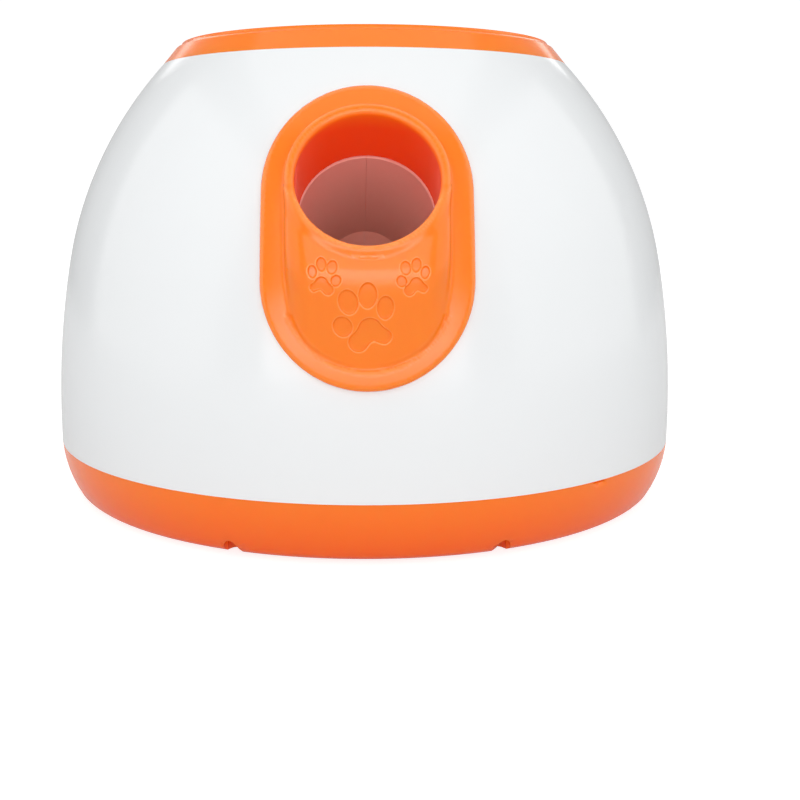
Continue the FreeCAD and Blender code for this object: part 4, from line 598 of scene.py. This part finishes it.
def crossed_edges(inside, number):
    """Quads between the numbered cells round each grid edge that the surface crosses."""
    shape = number.shape
    quads = []
    for axis in range(3):
        u, v = (axis + 1) % 3, (axis + 2) % 3
        size = inside.shape[axis]
        ahead = np.take(inside, range(1, size), axis)
        behind = np.take(inside, range(size - 1), axis)
        for leaving, order in ((behind & ~ahead, 1), (ahead & ~behind, -1)):
            edge = np.argwhere(leaving)
            edge = edge[(edge[:, u] > 0) & (edge[:, v] > 0)
                        & (edge[:, u] < shape[u]) & (edge[:, v] < shape[v])]
            ring = []
            for du, dv in ((-1, -1), (0, -1), (0, 0), (-1, 0)):
                at = edge.copy()
                at[:, u] += du
                at[:, v] += dv
                ring.append(number[tuple(at.T)])
            quads.append(np.stack(ring[::order], 1))
    return np.concatenate(quads)


def surface_of(field, low, high, cell):
    """Points and quads of the zero surface of a distance field, one point per crossed cell."""
    axes = [np.arange(a, b + cell, cell) for a, b in zip(low, high)]
    grid = field(*np.meshgrid(*axes, indexing="ij"))
    used, place = crossed_cells(grid)
    number = np.full(used.shape, -1)
    number[used] = np.arange(used.sum())
    points = (np.argwhere(used) + place) * cell + np.array(low)
    return points, crossed_edges(grid < 0, number)


def refine(mesh, wanted, cuts):
    """Divides the faces whose middles are wanted."""
    work = bmesh.new()
    work.from_mesh(mesh)
    middles = np.array([face.calc_center_median() for face in work.faces]) / MM
    chosen = wanted(middles)
    edges = {edge for face, use in zip(work.faces, chosen) if use for edge in face.edges}
    bmesh.ops.subdivide_edges(work, edges=list(edges), cuts=cuts, use_grid_fill=True)
    work.to_mesh(mesh)
    work.free()


def near_paws(points):
    """Faces of the front that the walls of the paws cross."""
    x, y, z = points.T
    return (y < PAW_BACK) & (np.abs(paw_field(x, z)) < PAW_NEAR)


def build_hood():
    """Muzzle hood from its distance field, finer round the paws, with painted shade in its bore and
    painted highlights on its edges.
    """
    low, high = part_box("muzzle_hood")
    low, high = [a / MM - GRID_MARGIN for a in low], [b / MM + GRID_MARGIN for b in high]
    points, quads = surface_of(hood_field, low, high, GRID_CELL)
    mesh = bpy.data.meshes.new("hood")
    mesh.from_pydata(settle(hood_field, points) * MM, [], quads)
    refine(mesh, near_paws, PAW_CUTS)
    points = settle(hood_field, points_of(mesh) / MM)
    mesh.vertices.foreach_set("co", (points * MM).ravel())
    mesh.validate()
    x, y, z = points.T
    depth, rise = along_bore(y, z)
    # painted shade: inside the bore the orange is painted redder, fully so from a few millimetres
    # behind the mouth
    bore = np.clip((BORE_SHADE_RADIUS - np.hypot(x, rise)) / BORE_SHADE_FADE, 0, 1)
    mark(mesh, "deep", bore * np.clip(depth / BORE_SHADE_DEPTH, 0, 1))
    # painted highlight: paler orange on convex edges, most of all on those facing up
    mark(mesh, "painted_highlight", painted_highlight_share(hood_field, points))
    mesh.shade_smooth()
    return stand_for("hood", mesh, "muzzle_hood")


class LAUNCHER_OT_hood(bpy.types.Operator):
    """Muzzle hood with soft fillets and sunk paws"""
    bl_idname = "launcher.hood"
    bl_label = "Muzzle hood"

    def execute(self, context):
        build_hood()
        return {"FINISHED"}


# ---------------------------------------------------------------- base
RECESS_COUNT, RECESS_FIRST = 8, 22.5            # the first one's angle in degrees
RECESS_REACH, RECESS_TOP = 136.0 * MM, 9.4 * MM
CUTTER_LENGTH, CUTTER_SIDES = 20 * MM, 40
SHADE_TOP, SHADE_SPAN = 24 * MM, 22 * MM        # painted shade: the base is painted darker and redder downwards from this height
SHADE_LEAST, SHADE_GAIN = 0.2, 0.4
BASE_EDGE = 30.0
SAME_POINT = 1e-6


def recess_cutters(radius):
    """Upright round cutters at the screw places, as one object."""
    work = bmesh.new()
    for index in range(RECESS_COUNT):
        turn = math.radians(RECESS_FIRST + 360 / RECESS_COUNT * index)
        rod = bmesh.ops.create_cone(work, cap_ends=True, segments=CUTTER_SIDES, radius1=radius,
                                    radius2=radius, depth=CUTTER_LENGTH)["verts"]
        bmesh.ops.translate(work, verts=rod, vec=(
            RECESS_REACH * math.cos(turn), RECESS_REACH * math.sin(turn),
            RECESS_TOP - CUTTER_LENGTH / 2))
    mesh = bpy.data.meshes.new("cutter")
    work.to_mesh(mesh)
    work.free()
    return linked("cutter", mesh)


def build_base(recess):
    """Base tray whose screw recesses open through the lower edge, with painted shade that makes its
    lower edge darker and redder.
    """
    mesh = NODES["base_tray"].data.copy()
    weld(mesh, SAME_POINT)
    holder = linked("base", mesh)
    cutters = recess_cutters(recess)
    modifier = holder.modifiers.new("recesses", "BOOLEAN")
    modifier.object, modifier.operation, modifier.solver = cutters, "DIFFERENCE", "EXACT"
    mesh = applied(holder)
    bpy.data.objects.remove(cutters)
    # painted shade: the base band is painted darker and redder towards the table
    low = np.clip((SHADE_TOP - points_of(mesh)[:, 2]) / SHADE_SPAN, 0, 1)
    mark(mesh, "deep", SHADE_LEAST + SHADE_GAIN * low)
    return stand_for("base", shaded(mesh, BASE_EDGE), "base_tray")


class LAUNCHER_OT_base(bpy.types.Operator):
    """Base tray with screw recesses open at the edge"""
    bl_idname = "launcher.base"
    bl_label = "Base tray"

    def execute(self, context):
        build_base(context.scene.launcher_detail.recess)
        return {"FINISHED"}


# ---------------------------------------------------------------- geometry nodes
TURNED_RINGS = 15


def new_tree(name, *sizes):
    """Node tree with points, a finish and named sizes as its inputs."""
    tree = bpy.data.node_groups.new(name, "GeometryNodeTree")
    tree.interface.new_socket("Geometry", in_out="OUTPUT", socket_type="NodeSocketGeometry")
    tree.interface.new_socket("Points", in_out="INPUT", socket_type="NodeSocketGeometry")
    tree.interface.new_socket("Finish", in_out="INPUT", socket_type="NodeSocketMaterial")
    for size in sizes:
        tree.interface.new_socket(size, in_out="INPUT", socket_type="NodeSocketFloat")
    return tree, node(tree, "NodeGroupInput").outputs


def close_tree(tree, given, piece):
    """Puts a piece on each point, turned to the point's way, and ends the tree."""
    way = node(tree, "GeometryNodeInputNamedAttribute", {"Name": "way"},
               data_type="FLOAT_VECTOR").outputs[0]
    turn = node(tree, "FunctionNodeAlignRotationToVector", {"Vector": way}, axis="Z")
    placed = node(tree, "GeometryNodeInstanceOnPoints", {
        "Points": given["Points"], "Instance": piece, "Rotation": turn.outputs[0]})
    real = node(tree, "GeometryNodeRealizeInstances", {"Geometry": placed.outputs[0]})
    done = node(tree, "GeometryNodeSetMaterial", {"Geometry": real.outputs[0],
                                                  "Material": given["Finish"]})
    node(tree, "NodeGroupOutput", {"Geometry": done.outputs[0]})
    return tree


def times(tree, first, second):
    """Product of two values or sockets."""
    return maths(tree, "MULTIPLY", first, second)


def vector(tree, x=0.0, y=0.0, z=0.0):
    """Vector of three values or sockets."""
    return node(tree, "ShaderNodeCombineXYZ", {"X": x, "Y": y, "Z": z}).outputs[0]


def curve_of(tree, value, points):
    """Value read from a curve of straight pieces."""
    made = node(tree, "ShaderNodeFloatCurve", {"Value": value})
    curve = made.mapping.curves[0]
    for index, (x, y) in enumerate(points):
        if index < 2:
            curve.points[index].location = (x, y)
        else:
            curve.points.new(x, y)
    for point in curve.points:
        point.handle_type = "VECTOR"
    made.mapping.update()
    return made.outputs[0]


def turned(tree, start, end, radius, shape, sides):
    """Closed turned body between two heights; its radius follows a curve."""
    line = node(tree, "GeometryNodeCurvePrimitiveLine",
                {"Start": vector(tree, z=start), "End": vector(tree, z=end)})
    fine = node(tree, "GeometryNodeResampleCurve", {"Curve": line.outputs[0],
                                                    "Count": TURNED_RINGS})
    along = node(tree, "GeometryNodeSplineParameter").outputs["Factor"]
    wide = times(tree, curve_of(tree, along, shape), radius)
    ring = node(tree, "GeometryNodeCurvePrimitiveCircle", {"Resolution": sides, "Radius": 1.0})
    return node(tree, "GeometryNodeCurveToMesh", {
        "Curve": fine.outputs[0], "Profile Curve": ring.outputs[0], "Scale": wide,
        "Fill Caps": True}).outputs[0]


def join(tree, *pieces):
    """All pieces as one geometry."""
    made = node(tree, "GeometryNodeJoinGeometry")
    for piece in pieces:
        tree.links.new(piece, made.inputs[0])
    return made.outputs[0]


# shares of a screw's head radius, head height, thread radius or length
HEAD_SIDES, SHANK_SIDES = 40, 20
HEAD_SHAPE = ((0, 0.72), (0.1, 0.87), (0.25, 0.95), (0.5, 1), (1, 1))
SHANK_SHAPE = ((0, 1), (0.86, 1), (0.96, 0.75), (1, 0.45))
CROSS_LONG, CROSS_WIDE, CROSS_DEEP = 1.15, 0.26, 1.3
CORE, SHANK_START = 0.82, 0.9
THREAD_MIDDLE, THREAD_RIDGE, THREAD_START, THREAD_SHORT = 0.85, 0.14, 0.3, 1.4
THREAD_PITCH, THREAD_STEPS = 0.75, 20


def cross_recess(tree, radius, height):
    """Two crossed bars that cut the recess of a screw's head."""
    cross = node(tree, "GeometryNodeMeshBoolean", operation="UNION", solver="EXACT")
    for wide, deep in ((CROSS_LONG, CROSS_WIDE), (CROSS_WIDE, CROSS_LONG)):
        size = vector(tree, times(tree, radius, wide), times(tree, radius, deep),
                      times(tree, height, CROSS_DEEP))
        bar = node(tree, "GeometryNodeMeshCube", {"Size": size})
        tree.links.new(bar.outputs[0], cross.inputs["Mesh 2"])
    return cross.outputs[0]


def thread_ridge(tree, given):
    """Ridge that winds along a screw's shank."""
    height, thread = given["Head height"], given["Thread radius"]
    reach = maths(tree, "SUBTRACT", maths(tree, "SUBTRACT", given["Length"], height),
                  times(tree, thread, THREAD_SHORT))
    middle = times(tree, thread, THREAD_MIDDLE)
    coil = node(tree, "GeometryNodeCurveSpiral", {
        "Resolution": THREAD_STEPS, "Rotations": maths(tree, "DIVIDE", reach, given["Pitch"]),
        "Start Radius": middle, "End Radius": middle, "Height": reach})
    ridge = node(tree, "GeometryNodeCurvePrimitiveCircle", {
        "Resolution": 4, "Radius": times(tree, thread, THREAD_RIDGE)})
    wound = node(tree, "GeometryNodeCurveToMesh", {
        "Curve": coil.outputs[0], "Profile Curve": ridge.outputs[0], "Fill Caps": True})
    start = maths(tree, "ADD", height, times(tree, thread, THREAD_START))
    return node(tree, "GeometryNodeTransform", {
        "Geometry": wound.outputs[0], "Translation": vector(tree, z=start)}).outputs[0]


def screw_tree():
    """Pan head screw with a cross recess and a thread, its head at the point."""
    tree, given = new_tree("screws", "Head radius", "Head height", "Thread radius", "Length",
                           "Pitch")
    radius, height = given["Head radius"], given["Head height"]
    head = turned(tree, 0.0, height, radius, HEAD_SHAPE, HEAD_SIDES)
    cut = node(tree, "GeometryNodeMeshBoolean", {"Mesh 1": head}, operation="DIFFERENCE",
               solver="EXACT")
    tree.links.new(cross_recess(tree, radius, height), cut.inputs["Mesh 2"])
    shank = turned(tree, times(tree, height, SHANK_START), given["Length"],
                   times(tree, given["Thread radius"], CORE), SHANK_SHAPE, SHANK_SIDES)
    return close_tree(tree, given, join(tree, cut.outputs[0], shank, thread_ridge(tree, given)))


STEPS_PER_TURN, WIRE_SIDES = 30.0, 12
COIL_RISE = ((0, 0), (0.11, 0.03), (0.89, 0.97), (1, 1))    # the end turns lie close together


def coil_tree():
    """Compression spring with closed ends, from the point along its way."""
    tree, given = new_tree("coils", "Radius", "Wire", "Length", "Turns")
    line = node(tree, "GeometryNodeCurvePrimitiveLine")
    fine = node(tree, "GeometryNodeResampleCurve", {
        "Curve": line.outputs[0], "Count": times(tree, given["Turns"], STEPS_PER_TURN)})
    along = node(tree, "GeometryNodeSplineParameter").outputs["Factor"]
    angle = times(tree, times(tree, along, given["Turns"]), math.tau)
    place = vector(tree, times(tree, given["Radius"], maths(tree, "COSINE", angle)),
                   times(tree, given["Radius"], maths(tree, "SINE", angle)),
                   times(tree, curve_of(tree, along, COIL_RISE), given["Length"]))
    wound = node(tree, "GeometryNodeSetPosition", {"Geometry": fine.outputs[0], "Position": place})
    ring = node(tree, "GeometryNodeCurvePrimitiveCircle", {"Resolution": WIRE_SIDES,
                                                           "Radius": given["Wire"]})
    wire = node(tree, "GeometryNodeCurveToMesh", {
        "Curve": wound.outputs[0], "Profile Curve": ring.outputs[0], "Fill Caps": True})
    return close_tree(tree, given, wire.outputs[0])


def grow(tree, places, finish, **sizes):
    """Plain mesh of a tree whose points are pairs of place and way."""
    seed = bpy.data.meshes.new(tree.name)
    seed.from_pydata([tuple(at) for at, _ in places], [], [])
    ways = [value for _, way in places for value in way]
    seed.attributes.new("way", "FLOAT_VECTOR", "POINT").data.foreach_set("vector", ways)
    holder = linked(tree.name, seed)
    modifier = holder.modifiers.new(tree.name, "NODES")
    modifier.node_group = tree
    sockets = {item.name: item.identifier for item in tree.interface.items_tree}
    modifier[sockets["Finish"]] = finish
    for size, value in sizes.items():
        modifier[sockets[size.replace("_", " ").capitalize()]] = float(value)
    mesh = applied(holder)
    weld(mesh, 2 * SAME_POINT)
    return mesh


# ---------------------------------------------------------------- screws
SCREWS = ("base_screws", "frame_screws", "hopper_screws", "barrel_screws", "gearbox_screws",
          "motor_screws", "panel_screws", "board_screws")
END_BAND = 0.1 * MM                             # points this near to an end belong to it
HEAD_SHARE = 0.95                               # points past this share of the reach are the head's


def islands(part):
    """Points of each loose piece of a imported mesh."""
    work = bmesh.new()
    work.from_mesh(part.data)
    bmesh.ops.remove_doubles(work, verts=work.verts, dist=SAME_POINT)
    seen, found = set(), []
    for vertex in work.verts:
        if vertex in seen:
            continue
        group, stack = [], [vertex]
        seen.add(vertex)
        while stack:
            here = stack.pop()
            group.append(tuple(here.co))
            for edge in here.link_edges:
                there = edge.other_vert(here)
                if there not in seen:
                    seen.add(there)
                    stack.append(there)
        found.append(np.array(group))
    work.free()
    return found


def measure(points):
    """Place and way of a screw's head, its radius and height, thread radius and length."""
    size = np.ptp(points, 0)
    along = min(range(3), key=lambda axis: abs(size[axis - 1] - size[axis - 2]))
    middle = (points.min(0) + points.max(0)) / 2
    reach = np.linalg.norm(np.delete(points - middle, along, 1), axis=1)
    low, high = points[:, along].min(), points[:, along].max()
    near = reach[points[:, along] < low + END_BAND].max()
    far = reach[points[:, along] > high - END_BAND].max()
    way, start = np.zeros(3), middle.copy()
    way[along], start[along] = (1, low) if near > far else (-1, high)
    head = points[reach > reach.max() * HEAD_SHARE, along]
    return start, way, reach.max(), np.ptp(head), min(near, far), high - low


class LAUNCHER_OT_screws(bpy.types.Operator):
    """Pan head screws with cross recess and thread in all screw places"""
    bl_idname = "launcher.screws"
    bl_label = "Screws"

    def execute(self, context):
        tree = screw_tree()
        for name in SCREWS:
            rows = [measure(points) for points in islands(NODES[name])]
            _, _, head, height, thread, length = rows[0]
            mesh = grow(tree, [row[:2] for row in rows], FINISH[SLOT_OF[name]],
                        head_radius=head, head_height=height, thread_radius=thread,
                        length=length, pitch=thread * THREAD_PITCH)
            stand_for("visible_" + name, shaded(mesh), name)
        return {"FINISHED"}


def build_spring(tree, name, use):
    """Drive spring along the barrel's slope."""
    way = np.array([0, math.cos(TILT), -math.sin(TILT)])
    up = np.array([0, math.sin(TILT), math.cos(TILT)])
    points = np.concatenate(islands(NODES[name]))
    level, run = points @ up, points @ way
    middle = up * (level.min() + level.max()) / 2
    middle[0] = (points[:, 0].min() + points[:, 0].max()) / 2
    start, end = run.min() + use.wire, run.max() - use.wire
    mesh = grow(tree, [(middle + way * start, way)], FINISH[SLOT_OF[name]],
                radius=use.coil, wire=use.wire, length=end - start, turns=use.turns)
    piece = stand_for("wound_" + name, shaded(mesh), name)
    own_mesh(piece)


class LAUNCHER_OT_springs(bpy.types.Operator):
    """Drive springs with closed ends"""
    bl_idname = "launcher.springs"
    bl_label = "Drive springs"

    def execute(self, context):
        tree = coil_tree()
        for name in ("drive_spring_left", "drive_spring_right"):
            build_spring(tree, name, context.scene.launcher_detail)
        return {"FINISHED"}


# ---------------------------------------------------------------- stage
# lengths in metres
FLOOR_HALF, FLOOR_FRONT, FLOOR_BACK = 6.0, -6.0, 2.0
SWEEP_RADIUS, SWEEP_STEPS, BACKDROP_TOP = 1.5, 16, 3.5
PAPER, PAPER_ROUGH = 0.5, 0.9
PAPER_LIFT = 0.8                                # light that the paper adds to its own shade
GLOSS_SHARE = 0.3                               # part of it that reflections see
WORLD_LIGHT = 0.36
LAMP_AIM = (0, 0, 0.1)
LAMPS = (                                       # place, width and height, watts
    ("panel_left", (-1.5, -0.2, 0.6), (2.0, 1.8), 8.0),
    ("panel_right", (1.5, -0.2, 0.6), (2.0, 1.8), 8.0),
    ("panel_top", (0.0, 0.1, 1.9), (2.2, 2.2), 8.0),
    ("panel_front", (0.0, -2.6, 1.2), (3.2, 2.2), 26.0),
    ("panel_low", (0.0, -1.6, 0.22), (2.2, 0.4), 6.0),
    ("panel_back", (0.0, 1.6, 1.35), (2.4, 0.9), 9.0),
)
SENSOR_WIDTH, SHIFT_X, SHIFT_Y = 36.0, 0.0443, -0.1334


class LAUNCHER_OT_stage(bpy.types.Operator):
    """Pale floor, soft lamps and the camera"""
    bl_idname = "launcher.stage"
    bl_label = "Stage"

    def execute(self, context):
        use = context.scene.launcher_stage
        context.scene.view_settings.view_transform = "Standard"
        build_floor()
        build_lamps(use.key)
        build_camera(use)
        return {"FINISHED"}


def paper():
    """Matt white sweep that the camera and the gloss see as white, with the shadow kept."""
    material, tree, main = shader("paper")
    ray = node(tree, "ShaderNodeLightPath").outputs
    gloss = maths(tree, "MULTIPLY", ray["Is Glossy Ray"], GLOSS_SHARE)
    seen = maths(tree, "MAXIMUM", ray["Is Camera Ray"], gloss)
    seen = maths(tree, "MAXIMUM", seen, ray["Is Transmission Ray"])
    lift = maths(tree, "MULTIPLY", seen, PAPER_LIFT)
    main.inputs["Base Color"].default_value = (PAPER, PAPER, PAPER, 1)
    main.inputs["Roughness"].default_value = PAPER_ROUGH
    main.inputs["Emission Color"].default_value = (1, 1, 1, 1)
    tree.links.new(lift, main.inputs["Emission Strength"])
    return material


def build_floor():
    """Floor that curves up into a backdrop."""
    profile = [(FLOOR_FRONT, 0.0), (FLOOR_BACK, 0.0)]
    for step in range(1, SWEEP_STEPS + 1):
        angle = math.radians(90 * step / SWEEP_STEPS)
        profile.append((FLOOR_BACK + SWEEP_RADIUS * math.sin(angle),
                        SWEEP_RADIUS - SWEEP_RADIUS * math.cos(angle)))
    profile.append((FLOOR_BACK + SWEEP_RADIUS, BACKDROP_TOP))
    points = [(side, y, z) for y, z in profile for side in (-FLOOR_HALF, FLOOR_HALF)]
    faces = [(i, i + 1, i + 3, i + 2) for i in range(0, len(points) - 2, 2)]
    mesh = bpy.data.meshes.new("floor")
    mesh.from_pydata(points, [], faces)
    mesh.shade_smooth()
    mesh.materials.append(paper())
    linked("floor", mesh)


def build_lamps(scale):
    """Large soft panels on both sides, in front, above and behind."""
    world = bpy.data.worlds.new("studio")
    bpy.context.scene.world = world
    world.use_nodes = True
    background = world.node_tree.nodes["Background"].inputs
    background["Color"].default_value = (1, 1, 1, 1)
    background["Strength"].default_value = WORLD_LIGHT * scale
    for name, at, size, power in LAMPS:
        lamp = bpy.data.lights.new(name, "AREA")
        lamp.shape = "RECTANGLE"
        lamp.size, lamp.size_y = size
        lamp.energy = power * scale
        holder = linked(name, lamp)
        holder.location = at
        aim = Vector(LAMP_AIM) - Vector(at)
        holder.rotation_euler = aim.to_track_quat("-Z", "Y").to_euler()


def build_camera(use):
    """Camera in front of the muzzle, looking slightly down."""
    lens = bpy.data.cameras.new("camera")
    lens.lens = use.lens
    lens.sensor_width = SENSOR_WIDTH
    lens.sensor_fit = "HORIZONTAL"
    lens.shift_x = SHIFT_X
    lens.shift_y = SHIFT_Y
    holder = linked("camera", lens)
    holder.location = (-use.distance * math.sin(use.turn), -use.distance * math.cos(use.turn),
                       use.height)
    holder.rotation_euler = (math.radians(90) - use.pitch, 0, -use.turn)
    bpy.context.scene.camera = holder


# ---------------------------------------------------------------- add-on
class LAUNCHER_PT_panel(bpy.types.Panel):
    """Settings and steps of the launcher"""
    bl_idname = "LAUNCHER_PT_panel"
    bl_label = "Dog ball launcher"
    bl_space_type = "VIEW_3D"
    bl_region_type = "UI"
    bl_category = "Launcher"

    def draw(self, context):
        scene = context.scene
        for group in (scene.launcher_finish, scene.launcher_detail, scene.launcher_stage):
            for name in group.__annotations__:
                self.layout.prop(group, name)
        for step in STEPS:
            self.layout.operator(step.bl_idname)


STEPS = (LAUNCHER_OT_finishes, LAUNCHER_OT_hood, LAUNCHER_OT_base, LAUNCHER_OT_screws,
         LAUNCHER_OT_springs, LAUNCHER_OT_stage)
SETTINGS = {"launcher_finish": LauncherFinish, "launcher_detail": LauncherDetail,
            "launcher_stage": LauncherStage}
CLASSES = (*SETTINGS.values(), *STEPS, LAUNCHER_PT_panel)


def register():
    """Registers the classes and hangs the settings on the scene."""
    for entry in CLASSES:
        bpy.utils.register_class(entry)
    for name, group in SETTINGS.items():
        setattr(bpy.types.Scene, name, bpy.props.PointerProperty(type=group))


def unregister():
    """Takes the settings and the classes away again."""
    for name in SETTINGS:
        delattr(bpy.types.Scene, name)
    for entry in reversed(CLASSES):
        bpy.utils.unregister_class(entry)


def main():
    """Builds the launcher and its stage."""
    register()
    bpy.ops.launcher.finishes()
    bpy.ops.launcher.hood()
    bpy.ops.launcher.base()
    bpy.ops.launcher.screws()
    bpy.ops.launcher.springs()
    bpy.ops.launcher.stage()
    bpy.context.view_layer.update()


if __name__ == "__main__":
    main()
